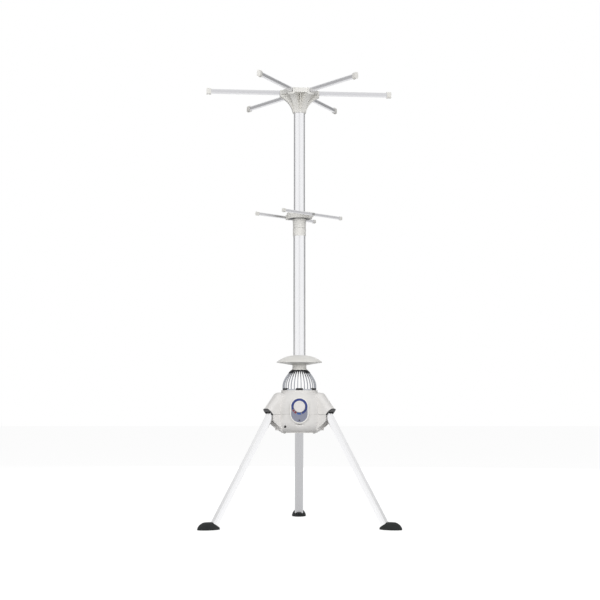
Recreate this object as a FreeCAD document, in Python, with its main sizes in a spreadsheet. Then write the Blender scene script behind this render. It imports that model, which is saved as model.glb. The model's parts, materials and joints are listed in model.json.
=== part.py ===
import FreeCAD, Part
import math
import os
import re
import Sketcher

# Portable clothes dryer: a fan heater on three folding legs, a telescoping mast over its air outlet,
# two short turning rails half way up and six hinged hanging arms at the top.
# Frame: millimetres, +Z up, origin on the floor under the mast axis, the control panel faces -Y.

# Every driving size: name, value in millimetres (degrees where the name ends in _angle), what it is.
SIZES = (
    ("running_gap", 0.3, "clearance between faces that move past each other"),
    ("pin_gap", 0.05, "radial clearance of a hinge pin in its bore"),
    ("cut_overrun", 2.0, "how far a cut runs past the face it opens"),
    # masts
    ("mast_lower_radius", 20.2, "outer radius of the lower mast"),
    ("mast_upper_radius", 18.9, "outer radius of the upper mast"),
    ("mast_wall", 1.0, "wall of both mast tubes"),
    ("mast_rest", 3.0, "height of the lower mast's bottom end above the cage"),
    ("mast_lower_length", 454.0, "length of the lower mast"),
    ("mast_overlap", 132.0, "length of the upper mast inside the lower one at full height"),
    ("mast_seat_depth", 42.0, "length of the upper mast inside the hub"),
    ("bush_length", 36.0, "length of the sliding bush on the upper mast"),
    ("bush_lip", 2.0, "length of the bush's flange below the tube"),
    ("lock_socket_height", 25.5, "height of the fixed half of the mast lock"),
    ("lock_ring_height", 30.5, "height of the turning half of the mast lock"),
    ("lock_socket_radius", 21.6, "outer radius of the fixed half"),
    ("lock_ring_low_radius", 20.9, "outer radius of the lock ring at the bottom"),
    ("lock_ring_top_radius", 22.6, "outer radius of the lock ring at the top"),
    ("lock_groove", 0.8, "height of the groove between the two halves"),
    # hub and arms
    ("hub_height", 74.9, "height of the hub from its sleeve's lower end to its rim"),
    ("mast_reach", 399.5, "length of the upper mast between the lower mast and the hub"),
    ("hub_sleeve_radius", 21.8, "outer radius of the hub's sleeve"),
    ("hub_corner_radius", 66.0, "distance of the hub's six noses from the axis"),
    ("hub_flat_radius", 59.0, "distance of the hub's six flats from the axis"),
    ("hub_rim_height", 15.0, "height of the hexagonal rim"),
    ("hub_wall", 2.4, "wall of the hub's rim and ribs"),
    ("hub_nose_width", 24.0, "width of each nose that holds an arm"),
    ("hub_floor", 3.0, "thickness of the hub's floor"),
    ("hub_lid_thickness", 2.0, "thickness of the hub's lid"),
    ("hub_lid_radius", 42.0, "radius of the hub's lid"),
    ("arm_first_angle", 35.7, "bearing of the first arm from -Y towards +X"),
    ("arm_width", 9.6, "width of an arm rail"),
    ("arm_height", 16.0, "height of an arm rail"),
    ("arm_wall", 1.2, "wall of an arm rail"),
    ("arm_tip_radius", 310.0, "distance of an arm's end cap from the axis"),
    ("arm_root", 46.0, "distance of an arm's inner end from the axis"),
    ("arm_pivot_radius", 55.0, "distance of an arm's pin from the axis"),
    ("arm_centre_drop", 6.4, "arm centre line below the hub's rim"),
    ("arm_side_gap", 0.6, "clearance each side of an arm in its slot"),
    ("arm_pin_radius", 2.0, "radius of an arm's pin"),
    ("arm_cap_length", 15.0, "length of an arm's end cap"),
    ("arm_cap_lip", 2.6, "how far the end cap stands proud of the rail"),
    ("arm_cap_notch", 4.0, "width of the hanger notch in the end cap"),
    # middle rails
    ("carrier_gap", 0.45, "clearance between the lock ring and the rail carrier"),
    ("carrier_height", 20.0, "height of the rail carrier"),
    ("carrier_radius", 42.0, "outer radius of the rail carrier"),
    ("carrier_flute_radius", 6.0, "radius of the flutes round the carrier"),
    ("carrier_wall", 2.4, "wall of the rail carrier"),
    ("carrier_flute_count", 18.0, "number of flutes"),
    ("washer_height", 2.0, "height of the black washer in the carrier's underside"),
    ("rail_bearing_angle", 47.0, "bearing of the front rail from -Y towards +X"),
    ("rail_offset", 60.0, "distance of each rail's centre line from the axis"),
    ("rail_half_length", 142.0, "half the length of a rail with its caps"),
    ("rail_width", 8.0, "width of a rail"),
    ("rail_height", 9.5, "height of a rail"),
    ("rail_wall", 1.1, "wall of a rail"),
    ("rail_cap_length", 9.0, "length of a rail's end cap"),
    ("rail_cap_lip", 1.2, "how far a rail's cap stands proud"),
    ("rail_lug_width", 16.0, "width of the lug that carries a rail"),
    ("rail_pin_radius", 2.5, "radius of a rail's pivot"),
    ("rail_pin_head", 4.5, "radius of the pivot's head"),
    ("rail_pin_head_height", 2.0, "height of the pivot's head"),
    # heater casing
    ("casing_foot", 303.0, "height of the casing's underside"),
    ("casing_bowl_height", 56.5, "height of the lower casing"),
    ("casing_radius", 85.0, "radius of the casing at the joint"),
    ("casing_wall", 2.4, "wall of the casing"),
    ("casing_base_radius", 63.0, "radius of the casing's underside"),
    ("casing_dome_height", 70.5, "height of the upper casing below its neck ring"),
    ("casing_neck_radius", 60.0, "outer radius of the neck ring"),
    ("casing_dome_step", 6.0, "width of the dome's flat top round the neck ring"),
    ("neck_ring_height", 8.5, "height of the neck ring"),
    ("outlet_radius", 50.0, "radius of the air outlet"),
    ("split_groove", 0.7, "height of the shadow line between the casing halves"),
    # leg shoulders
    ("shoulder_half_width", 21.0, "half the width of a leg shoulder"),
    ("shoulder_reach", 1.0, "distance of the shoulder's upper corner beyond the casing's joint"),
    ("shoulder_lift", 1.0, "height of the shoulder's upper corner above the neck ring's foot"),
    ("shoulder_spread", 40.0, "distance of the shoulder's tip beyond its upper corner"),
    ("shoulder_rise", 19.5, "height of the shoulder's tip above the joint"),
    ("shoulder_mouth_depth", 16.0, "distance of the mouth's inner end behind the shoulder's tip"),
    ("shoulder_round", 15.0, "rounding along the shoulder"),
    ("lobe_drop", 18.5, "depth below the joint where the lower lobe turns in"),
    ("lobe_foot_reach", 3.0, "distance of the lobe's lower corner beyond the casing's underside"),
    ("lobe_rise", 5.0, "height of the lobe's lower corner above the casing's underside"),
    ("slot_depth", 34.4, "depth of the leg slot behind the mouth's inner end"),
    ("slot_roof_depth", 21.0, "depth of the leg slot's roof below the shoulder's upper corner"),
    ("socket_wall", 2.0, "wall of the black leg socket"),
    ("socket_flange", 3.0, "thickness of the socket's flange at the mouth"),
    ("hood_depth", 8.4, "depth of the hood over the leg socket"),
    # legs
    ("leg_bearing_angle", 60.3, "bearing of the right leg from -Y towards +X"),
    ("eighth_turn", 45.0, "an eighth of a full turn"),
    ("leg_splay_angle", 30.4, "lean of an open leg from the vertical"),
    ("leg_pivot_inset", 14.92, "distance of a leg's pin from the slot's back"),
    ("leg_pivot_drop", 19.45, "depth of a leg's pin below the slot's roof"),
    ("leg_width", 29.0, "width of a leg tube, across the fold"),
    ("leg_depth", 18.4, "depth of a leg tube, along the fold"),
    ("leg_wall", 1.5, "wall of a leg tube"),
    ("leg_corner", 5.5, "corner radius of a leg tube"),
    ("leg_end_height", 12.0, "height of a leg's lower end on its centre line"),
    ("leg_side_gap", 0.5, "clearance each side of a leg in its socket"),
    ("leg_pin_radius", 4.0, "radius of a leg's pin"),
    ("foot_length", 76.0, "length of a foot's sole"),
    ("foot_width", 49.0, "width of a foot's sole"),
    ("foot_height", 23.0, "height of a foot"),
    ("foot_sole", 4.0, "thickness of the sole's edge"),
    ("foot_toe_shift", 18.4, "distance of the sole's centre beyond the leg's end"),
    ("foot_apex_shift", 8.4, "distance of the foot's highest point beyond the leg's end"),
    ("foot_apex", 20.5, "height of the foot's highest point"),
    # outlet cage and deflector
    ("cage_radius", 56.0, "outer radius of the cage's straight part"),
    ("cage_base_height", 4.0, "height of the cage's base ring"),
    ("cage_straight", 31.5, "height of the straight part of the cage ribs"),
    ("cage_height", 66.5, "height of the cage"),
    ("cage_top_radius", 28.0, "radius of the cage ribs at the top"),
    ("cage_ring_height", 4.5, "height of the black ring on the ribs"),
    ("cage_hoop_height", 2.5, "height of the hoop that joins the ribs' tops"),
    ("cage_hoop_width", 7.0, "width of that hoop"),
    ("cage_rib_count", 30.0, "number of cage ribs"),
    ("cage_rib_width", 2.8, "width of a cage rib"),
    ("cage_rib_depth", 4.0, "depth of a cage rib"),
    ("neck_radius", 23.0, "outer radius of the mast socket"),
    ("neck_flange_radius", 25.5, "radius of the mast socket's flange"),
    ("neck_flange_height", 3.5, "height of the mast socket's flange"),
    ("neck_height", 43.0, "height of the mast socket"),
    ("deflector_radius", 74.5, "outer radius of the air deflector"),
    ("deflector_dish", 8.5, "height of the deflector's lower rim above the under-plate"),
    ("deflector_collar", 2.5, "height of the deflector's collar"),
    ("deflector_crown_radius", 36.0, "radius of the deflector's crown"),
    ("deflector_dome", 19.0, "height of the deflector's crown above its widest edge"),
    ("deflector_wall", 2.2, "wall of the deflector"),
    ("deflector_edge_height", 2.5, "height of the deflector's widest edge above its rim"),
    ("deflector_lift", 16.0, "height of the under-plate above the cage"),
    ("deflector_gap", 0.2, "clearance round the mast"),
    # control panel
    ("panel_radius", 26.3, "radius of the control panel's round ends"),
    ("panel_rise", 26.2, "height of the knob's axis above the joint"),
    ("panel_drop", 24.5, "distance between the centres of the panel's two ends"),
    ("panel_stand", 6.0, "distance of the panel's face beyond the casing's joint"),
    ("panel_depth", 24.0, "depth of the panel into the casing"),
    ("panel_skin", 3.0, "thickness of the panel's face"),
    ("panel_wall", 2.4, "wall of the panel's skirt"),
    ("panel_rim_width", 3.2, "width of the pale rim round the panel"),
    ("panel_rim_proud", 1.0, "how far the rim stands before the panel"),
    ("knob_radius", 18.6, "radius of the timer knob"),
    ("knob_height", 13.0, "height of the timer knob"),
    ("knob_round", 2.5, "rounding of the knob's face"),
    ("knob_dish", 0.8, "depth of the dish in the knob's face"),
    ("knob_dish_radius", 15.8, "radius of that dish"),
    ("knob_mark_width", 1.8, "width of the knob's mark"),
    ("knob_mark_length", 7.0, "distance from the dish's edge to the mark's inner end"),
    ("knob_shaft_radius", 3.0, "radius of the timer's shaft"),
    ("lens_radius", 2.4, "radius of the indicator lens"),
    ("lens_drop", 44.0, "distance of the lens below the knob's axis"),
    ("lens_proud", 1.2, "how far the lens stands proud"),
    ("notch_half_width", 16.0, "half the width of the finger notch under the panel"),
    ("notch_rise", 27.0, "height of the notch's upper corners above the casing's underside"),
    ("notch_height", 7.0, "height of the notch at its middle"),
    ("notch_depth", 4.3, "depth of the notch's flat floor inside the casing's joint"),
    ("port_radius", 3.8, "radius of the small round opening"),
    ("port_across", 46.0, "distance of that opening from the middle"),
    ("port_rise", 17.5, "height of that opening above the casing's underside"),
    ("timer_size", 30.0, "side of the timer's housing"),
    ("timer_depth", 22.0, "depth of the timer's housing"),
    # fan, heater and wiring
    ("motor_radius", 21.0, "radius of the fan motor"),
    ("motor_rise", 15.0, "height of the motor above the casing's underside"),
    ("motor_height", 26.0, "height of the motor"),
    ("motor_shaft_radius", 2.5, "radius of the motor's shaft"),
    ("bracket_thickness", 2.5, "thickness of the motor bracket"),
    ("bracket_arm_width", 12.0, "width of the bracket's arms"),
    ("bracket_reach", 58.0, "reach of the bracket's arms"),
    ("bracket_foot", 5.0, "length of the bracket's feet along its arms"),
    ("bracket_first_angle", 0.0, "bearing of the first bracket arm"),
    ("fan_radius", 50.0, "radius of the fan"),
    ("fan_hub_radius", 16.0, "radius of the fan's hub"),
    ("fan_blade_root", 11.0, "distance of a blade's root from the axis"),
    ("fan_blade_height", 12.0, "height of a fan blade"),
    ("fan_gap", 5.0, "clearance between the motor and the fan"),
    ("fan_height", 18.0, "height of the fan"),
    ("fan_blade_count", 7.0, "number of fan blades"),
    ("fan_blade_thickness", 1.8, "thickness of a fan blade"),
    ("fan_blade_angle", 35.0, "pitch of a fan blade"),
    ("heater_radius", 52.0, "outer radius of the heater's frame"),
    ("heater_height", 26.0, "height of the heater's frame"),
    ("heater_wall", 2.0, "wall of the heater's frame"),
    ("heater_flange", 4.0, "width of the heater's flange"),
    ("heater_bar_count", 6.0, "number of heating bars"),
    ("heater_bar_width", 5.0, "width of a heating bar"),
    ("heater_bar_height", 15.0, "height of a heating bar"),
    ("heater_core_radius", 12.0, "radius of the heater's core"),
    ("cutout_length", 18.0, "length of the thermal cutout"),
    ("cutout_width", 9.0, "width of the thermal cutout"),
    ("cutout_height", 7.0, "height of the thermal cutout"),
    ("grille_thickness", 3.0, "thickness of the intake grille"),
    ("grille_radius", 60.0, "radius of the intake grille"),
    ("grille_ring_width", 3.0, "width of the grille's rings"),
    ("grille_ring_count", 5.0, "number of rings in the grille"),
    ("grille_spoke_width", 4.0, "width of the grille's spokes"),
    ("filter_thickness", 4.0, "thickness of the dust filter"),
    ("filter_radius", 51.0, "radius of the dust filter"),
    ("inlet_radius", 6.6, "radius of the cord inlet's flange"),
    ("inlet_bore_radius", 3.6, "radius of the cord inlet's bore"),
    ("inlet_length", 9.0, "length of the cord inlet outside the casing"),
    ("inlet_flange", 2.5, "thickness of the inlet's flange"),
    ("inlet_neck_radius", 5.2, "radius of the inlet in the casing wall"),
    ("inlet_drop", 14.5, "depth of the cord inlet below the joint"),
    ("inlet_bearing_angle", 150.0, "bearing of the cord inlet from -Y towards +X"),
    ("screw_radius", 2.0, "radius of a casing screw"),
    ("screw_head_radius", 3.8, "radius of a casing screw's head"),
    ("screw_head_height", 2.4, "height of a casing screw's head"),
    ("screw_length", 9.0, "length of a casing screw"),
    ("screw_circle_radius", 56.0, "distance of the casing screws from the axis"),
    ("screw_first_angle", 60.0, "bearing of the first casing screw"),
    ("boss_radius", 4.0, "radius of a screw boss"),
)

# Heights and distances that follow from the sizes.
PLACES = {
    "casing_split": "casing_foot + casing_bowl_height",
    "casing_neck_base": "casing_split + casing_dome_height",
    "casing_shoulder_radius": "casing_neck_radius + casing_dome_step",
    "outlet_height": "casing_neck_base + neck_ring_height",
    "shoulder_top_radius": "casing_radius + shoulder_reach",
    "shoulder_top": "casing_neck_base + shoulder_lift",
    "shoulder_tip_radius": "shoulder_top_radius + shoulder_spread",
    "shoulder_tip": "casing_split + shoulder_rise",
    "shoulder_mouth_radius": "shoulder_tip_radius - shoulder_mouth_depth",
    "lobe_radius": "shoulder_mouth_radius",
    "lobe_knee": "casing_split - lobe_drop",
    "lobe_foot_radius": "casing_base_radius + lobe_foot_reach",
    "lobe_foot": "casing_foot + lobe_rise",
    "slot_back": "shoulder_mouth_radius - slot_depth",
    "slot_top": "shoulder_top - slot_roof_depth",
    "leg_pivot_radius": "slot_back + leg_pivot_inset",
    "leg_pivot_height": "slot_top - leg_pivot_drop",
    "cage_shoulder": "outlet_height + cage_straight",
    "cage_top": "outlet_height + cage_height",
    "neck_top": "cage_top + neck_height",
    "deflector_floor": "cage_top + deflector_lift",
    "deflector_rim": "deflector_floor + deflector_dish",
    "deflector_edge": "deflector_rim + deflector_edge_height",
    "deflector_crown": "deflector_edge + deflector_dome",
    "deflector_top": "deflector_crown + deflector_collar",
    "mast_lower_foot": "cage_top + mast_rest",
    "mast_lower_top": "mast_lower_foot + mast_lower_length",
    "mast_upper_foot": "mast_lower_top - mast_overlap",
    "carrier_foot": "mast_lower_top + lock_socket_height / 2 + lock_groove + lock_ring_height + carrier_gap",
    "hub_foot": "mast_lower_top + mast_reach",
    "hub_top": "hub_foot + hub_height",
    "panel_height": "casing_split + panel_rise",
    "panel_face": "casing_radius + panel_stand",
    "notch_top": "casing_foot + notch_rise",
    "notch_floor": "casing_radius - notch_depth",
    "motor_foot": "casing_foot + motor_rise",
    "fan_foot": "motor_foot + motor_height + fan_gap",
    "inlet_height": "casing_split - inlet_drop",
}

doc = FreeCAD.newDocument("clothes_dryer")
sheet = doc.addObject("Spreadsheet::Sheet", "Sizes")
for line, (name, value, meaning) in enumerate(SIZES, start=1):
    sheet.set("A%d" % line, name)
    sheet.set("B%d" % line, repr(value))
    sheet.set("C%d" % line, meaning)
    sheet.setAlias("B%d" % line, name)
doc.recompute()

NODES = []
FULL_TURN = 360.0
LEG_COUNT = 3
ARM_COUNT = 6


def size(text):
    """The value of a sum of named sizes."""
    return float(sheet.evalExpression(linked(text)))


def linked(text):
    """The same sum as the document's objects write it, with every place written out in sizes."""
    def written_out(found):
        name = found.group(0)
        return "(%s)" % linked(PLACES[name]) if name in PLACES else "Sizes." + name

    return re.sub(r"[a-z]+(?:_[a-z]+)+", written_out, str(text))


def bind(target, name, text):
    """Tie one property to a sum of named sizes."""
    target.setExpression(name, linked(text))


def plane(body, role):
    """One of a body's own origin planes."""
    return [entry for entry in body.Origin.OriginFeatures if entry.Role == role][0]


def keep(piece, label):
    """Name a finished sub-part and list it for export."""
    piece.Label = label
    NODES.append(piece)
    return piece


def new_body(label):
    """An empty body listed under its node's name."""
    return keep(doc.addObject("PartDesign::Body", label), label)


def new_blank(label):
    """An empty body that only serves as one operand of a boolean."""
    return doc.addObject("PartDesign::Body", label)


def fuse(label, pieces):
    """Join pieces into one solid."""
    joined = doc.addObject("Part::MultiFuse", label)
    joined.Shapes = pieces
    joined.Refine = True
    return joined


def cut_away(label, base, tool):
    """Take one piece away from another."""
    trimmed = doc.addObject("Part::Cut", label)
    trimmed.Base = base
    trimmed.Tool = tool
    return trimmed


def new_sketch(body, role, offset="0", turn=0.0):
    """A sketch on an origin plane, moved along its normal or turned about the mast axis."""
    sketch = body.newObject("Sketcher::SketchObject", "outline")
    sketch.AttachmentSupport = (plane(body, role), [""])
    sketch.MapMode = "FlatFace"
    sketch.AttachmentOffset = FreeCAD.Placement(
        FreeCAD.Vector(0, 0, size(offset)), FreeCAD.Rotation(FreeCAD.Vector(0, 1, 0), turn))
    if offset != "0":
        bind(sketch, "AttachmentOffset.Base.z", offset)
    return sketch


def pin_point(sketch, edge, end, across, up):
    """Hold a point of a sketch at two sums of named sizes, measured from the sketch's origin."""
    for kind, text in (("DistanceX", across), ("DistanceY", up)):
        index = sketch.addConstraint(Sketcher.Constraint(kind, -1, 1, edge, end, size(text)))
        sketch.setExpression("Constraints[%d]" % index, linked(text))


def add_outline(sketch, corners):
    """A closed outline. A corner is (across, up); (across, up, "via") is a point that an arc runs through."""
    spots = [FreeCAD.Vector(size(entry[0]), size(entry[1]), 0) for entry in corners]
    stops = [index for index, entry in enumerate(corners) if len(entry) == 2]
    edges = []
    for place, start in enumerate(stops):
        end = stops[(place + 1) % len(stops)]
        if (start + 1) % len(corners) == end:
            edges.append(sketch.addGeometry(Part.LineSegment(spots[start], spots[end]), False))
            continue
        via = (start + 1) % len(corners)
        edges.append(sketch.addGeometry(Part.Arc(spots[start], spots[via], spots[end]), False))
    flips = []
    for place, edge in enumerate(edges):
        start = spots[stops[place]]
        first = sketch.getPoint(edge, 1)
        flips.append((2, 1) if (first - start).Length > 1e-6 else (1, 2))
    for place, edge in enumerate(edges):
        following = (place + 1) % len(edges)
        sketch.addConstraint(
            Sketcher.Constraint("Coincident", edge, flips[place][1], edges[following], flips[following][0]))
    for place, edge in enumerate(edges):
        corner = corners[stops[place]]
        pin_point(sketch, edge, flips[place][0], corner[0], corner[1])
        via = (stops[place] + 1) % len(corners)
        if len(corners[via]) == 3:
            dot = sketch.addGeometry(Part.Point(spots[via]), True)
            sketch.addConstraint(Sketcher.Constraint("PointOnObject", dot, 1, edge))
            pin_point(sketch, dot, 1, corners[via][0], corners[via][1])


def add_circle(sketch, across, up, radius):
    """A circle whose centre and radius are sums of named sizes."""
    centre = FreeCAD.Vector(size(across), size(up), 0)
    edge = sketch.addGeometry(Part.Circle(centre, FreeCAD.Vector(0, 0, 1), size(radius)), False)
    pin_point(sketch, edge, 3, across, up)
    index = sketch.addConstraint(Sketcher.Constraint("Radius", edge, size(radius)))
    sketch.setExpression("Constraints[%d]" % index, linked(radius))


def box_corners(left, right, low, high):
    """The four corners of an upright rectangle."""
    return ((left, low), (right, low), (right, high), (left, high))


def rounded_box(half_across, half_up, radius):
    """A rectangle about the origin with round corners, the arcs through their middle points."""
    diagonal = "(%s) * (1 - sqrt(2) / 2)" % radius
    corners = []
    for sign_x, sign_y in ((1, 1), (-1, 1), (-1, -1), (1, -1)):
        flat_x = ("%d * ((%s) - (%s))" % (sign_x, half_across, radius), "%d * (%s)" % (sign_y, half_up))
        flat_y = ("%d * (%s)" % (sign_x, half_across), "%d * ((%s) - (%s))" % (sign_y, half_up, radius))
        middle = ("%d * ((%s) - %s)" % (sign_x, half_across, diagonal),
                  "%d * ((%s) - %s)" % (sign_y, half_up, diagonal), "via")
        corners += [flat_y, middle, flat_x] if sign_x == sign_y else [flat_x, middle, flat_y]
    return corners


def revolve(body, corners, cut=False):
    """Turn an outline of radius and height about the body's Z axis."""
    sketch = new_sketch(body, "XZ_Plane")
    add_outline(sketch, corners)
    turn = body.newObject("PartDesign::Groove" if cut else "PartDesign::Revolution", "turned")
    turn.Profile = sketch
    turn.ReferenceAxis = (sketch, ["V_Axis"])
    turn.Angle = FULL_TURN
    return turn


def pad(body, sketch, length, both=False, back=False):
    """Push a sketch out by a sum of named sizes."""
    push = body.newObject("PartDesign::Pad", "pad")
    push.Profile = sketch
    bind(push, "Length", length)
    push.Midplane = both
    push.Reversed = back
    return push


def pocket(body, sketch, length, both=False, back=False):
    """Cut a sketch into the body by a sum of named sizes."""
    cut = body.newObject("PartDesign::Pocket", "pocket")
    cut.Profile = sketch
    bind(cut, "Length", length)
    cut.Midplane = both
    cut.Reversed = back
    return cut


def repeat(body, feature, count, span=FULL_TURN):
    """Repeat a feature round the body's Z axis."""
    ring = body.newObject("PartDesign::PolarPattern", "ring")
    ring.Originals = [feature]
    ring.Axis = (plane(body, "Z_Axis"), [""])
    ring.Angle = span
    ring.Occurrences = int(round(size(str(count))))
    body.Tip = ring
    return ring


def soften(body, radius, chosen):
    """Round the edges of the body's tip that the given test picks."""
    doc.recompute()
    base = body.Tip
    names = ["Edge%d" % (index + 1) for index, edge in enumerate(base.Shape.Edges) if chosen(edge)]
    if not names:
        raise ValueError("no edge to round on " + body.Label)
    fillet = body.newObject("PartDesign::Fillet", "soft")
    fillet.Base = (base, names)
    bind(fillet, "Radius", radius)
    return fillet


def turned_about_z(angle, base=(0, 0, 0)):
    """A placement turned about the mast axis; a bearing runs from -Y towards +X."""
    spin = FreeCAD.Rotation(FreeCAD.Vector(0, 0, 1), angle)
    return FreeCAD.Placement(spin.multVec(FreeCAD.Vector(*base)), spin)


def bearing(angle):
    """The turn that brings a piece built along +X to a bearing from -Y towards +X."""
    return angle - FULL_TURN / 4


# How close two faces lie to count as touching, for choosing edges.
TOUCH = 0.01

# Sums of sizes that several pieces share.
SLOT_WIDTH = "(leg_width + 2 * leg_side_gap + 2 * socket_wall)"
SOCKET_WIDTH = "(leg_width + 2 * leg_side_gap)"
LEG_LENGTH = "(leg_pivot_height - leg_end_height) / cos(leg_splay_angle)"
LEG_END = "leg_pivot_radius + (leg_pivot_height - leg_end_height) * tan(leg_splay_angle)"
SHOULDER_RUN = "((shoulder_tip_radius - shoulder_top_radius) / (shoulder_top - shoulder_tip))"
ARM_SLOT = "(arm_width + 2 * arm_side_gap)"
ARM_SWING = "(sqrt((arm_pivot_radius - arm_root) ^ 2 + (arm_height / 2) ^ 2) + running_gap)"
RAIL_HEIGHT = "(carrier_foot + carrier_height / 2)"
SCREW_ACROSS = "screw_circle_radius * sin(screw_first_angle)"
SCREW_UP = "-screw_circle_radius * cos(screw_first_angle)"

# Shares, chosen by hand, of the sizes that the named outlines follow.
DOME_VIA_SHARES = (0.24, 0.60)
BOWL_VIA_SHARES = (0.34, 0.34)
SHOULDER_CORNER_SHARE = 0.16
SHOULDER_VIA_SHARES = (0.0178, 0.0416)
LOBE_VIA_SHARES = (0.60, 0.48)
GUSSET_VIA_SHARES = (0.27, 0.52)
DEFLECTOR_VIA_SHARES = (0.52, 0.62)
FOOT_SHARES = ((1.0, 0.0), (0.93, 0.3), (0.74, 0.7), (0.42, 1.0))
NOTCH_SHARE = 0.7
NOTCH_SAG_SHARE = 0.15
SLOT_WALL_SHARE = 0.55
BOWL_KNEE_SHARE = 0.62
RAIL_CHAMFER_SHARE = 0.22
ARM_ROUND_SHARE = 0.46
CAP_NOTCH_SHARE = 0.6
CAGE_BEND_SHARE = 0.6
RIB_THICK_SHARES = (0.33, 1.3, 1.5)
GRILLE_SPOKE_COUNT = 6

ARM_ROUND = "arm_width * %s" % ARM_ROUND_SHARE


def between(low, high, share):
    """The sum that lies at a share of the way from one size to another."""
    return "(%s) + ((%s) - (%s)) * %s" % (low, high, low, share)


def tube(label, outer, inner, low, high):
    """A straight tube, or a rod where the inner radius is zero."""
    body = new_body(label)
    revolve(body, ((inner, low), (outer, low), (outer, high), (inner, high)))
    return body


def dome_outline(inset):
    """The upper casing's outline, drawn in by a wall."""
    side = "casing_radius - (%s)" % inset
    brow = "casing_shoulder_radius - (%s)" % inset
    roof = "casing_neck_base - (%s)" % inset
    return side, brow, roof


def leg_turn(index):
    """The turn that brings a piece built along +X to one of the three legs."""
    return bearing(size("leg_bearing_angle")) + index * FULL_TURN / LEG_COUNT


def shoulder_outline():
    """Side view of one leg shoulder on the upper casing."""
    run = "(shoulder_tip_radius - shoulder_top_radius)"
    fall = "(shoulder_top - shoulder_tip)"
    corner = SHOULDER_CORNER_SHARE
    mouth_floor = "casing_split + split_groove"
    return (
        ("casing_neck_radius", mouth_floor),
        ("shoulder_mouth_radius", mouth_floor),
        ("shoulder_tip_radius", "shoulder_tip"),
        ("shoulder_top_radius + %s * %s" % (run, corner), "shoulder_top - %s * %s" % (fall, corner)),
        ("shoulder_top_radius - %s * %s" % (run, SHOULDER_VIA_SHARES[0]),
         "shoulder_top - %s * %s" % (fall, SHOULDER_VIA_SHARES[1]), "via"),
        ("shoulder_top_radius - %s * %s * sqrt(2)" % (run, corner), "shoulder_top"),
        ("casing_neck_radius", "shoulder_top"),
    )


def leg_blank(label, index, corners, width):
    """A block with the given side view, set across one leg's plane."""
    body = new_blank(label)
    sketch = new_sketch(body, "XZ_Plane")
    add_outline(sketch, corners)
    pad(body, sketch, width, both=True)
    body.Placement = turned_about_z(leg_turn(index))
    return body


def shoulder(index):
    """One leg shoulder with its long upper edges rounded."""
    body = leg_blank("shoulder", index, shoulder_outline(), "2 * shoulder_half_width")
    low = size("shoulder_tip") - TOUCH
    soften(body, "shoulder_round", lambda edge: edge.BoundBox.ZMin > low and edge.BoundBox.YLength < TOUCH)
    return body


def pin_blank(index):
    """The bore of a leg's pin, blind in both shoulder cheeks."""
    body = new_blank("pin_bore")
    sketch = new_sketch(body, "XZ_Plane")
    add_circle(sketch, "leg_pivot_radius", "leg_pivot_height", "leg_pin_radius")
    pad(body, sketch, SLOT_WIDTH + " + casing_wall", both=True)
    body.Placement = turned_about_z(leg_turn(index))
    return body


def panel_blank():
    """The space that the control panel's tray takes up."""
    body = new_blank("panel_space")
    sketch = new_sketch(body, "XZ_Plane", "panel_face - panel_depth")
    add_outline(sketch, panel_outline("panel_rim_width"))
    pad(body, sketch, "panel_depth + cut_overrun")
    return body


def upper_casing():
    """The domed top shell with its neck ring, three leg shoulders and the control panel's recess."""
    dome = new_blank("dome")
    side, brow, roof = dome_outline("0")
    lip = "casing_radius - split_groove"
    groove_top = "casing_split + split_groove"
    revolve(dome, (
        ("0", "casing_split"), (lip, "casing_split"), (lip, groove_top), (side, groove_top),
        (between(side, brow, DOME_VIA_SHARES[0]), between(groove_top, roof, DOME_VIA_SHARES[1]), "via"),
        (brow, roof), ("casing_neck_radius", roof), ("casing_neck_radius", "outlet_height"),
        ("0", "outlet_height")))
    skin = fuse("dome_with_shoulders", [dome] + [shoulder(index) for index in range(LEG_COUNT)])
    hollow = new_blank("dome_hollow")
    side, brow, roof = dome_outline("casing_wall")
    under = "casing_split - cut_overrun"
    revolve(hollow, (
        ("0", under), (side, under), (side, groove_top),
        (between(side, brow, DOME_VIA_SHARES[0]), between(groove_top, roof, DOME_VIA_SHARES[1]), "via"),
        (brow, roof), ("outlet_radius", roof), ("outlet_radius", "outlet_height + cut_overrun"),
        ("0", "outlet_height + cut_overrun")))
    shell = cut_away("dome_shell", skin, hollow)
    walls = [leg_blank("slot_wall", index, box_corners(
        "slot_back - casing_wall", between("slot_back", "casing_radius", SLOT_WALL_SHARE), "casing_split",
        "slot_top + casing_wall"), SLOT_WIDTH + " + 2 * casing_wall") for index in range(LEG_COUNT)]
    slots = [leg_blank("slot", index, slot_outline("0"), SLOT_WIDTH) for index in range(LEG_COUNT)]
    bores = [pin_blank(index) for index in range(LEG_COUNT)]
    spaces = fuse("casing_spaces", slots + bores + [panel_blank()])
    return keep(cut_away("upper_casing", fuse("walled_shell", [shell] + walls), spaces), "upper_casing")


def slot_outline(inset):
    """Side view of the slot that a leg's head sits in, drawn in by a wall; its roof follows the shoulder."""
    hood = "shoulder_tip_radius - hood_depth * sqrt(2) - (%s)" % inset
    low = "casing_split - cut_overrun"
    roof = "slot_top - (%s)" % inset
    return (
        ("slot_back + (%s)" % inset, low),
        ("%s + (shoulder_tip - (%s)) * %s" % (hood, low, SHOULDER_RUN), low),
        ("%s - (%s - shoulder_tip) * %s" % (hood, roof, SHOULDER_RUN), roof),
        ("slot_back + (%s)" % inset, roof),
    )


def panel_outline(grow):
    """The control panel's outline, two round ends joined by straight sides, grown by a rim."""
    reach = "panel_radius + (%s)" % grow
    low = "panel_height - panel_drop"
    return (
        (reach, low), (reach, "panel_height"), ("0", "panel_height + " + reach, "via"),
        ("-(%s)" % reach, "panel_height"), ("-(%s)" % reach, low), ("0", "%s - (%s)" % (low, reach), "via"))


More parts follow.
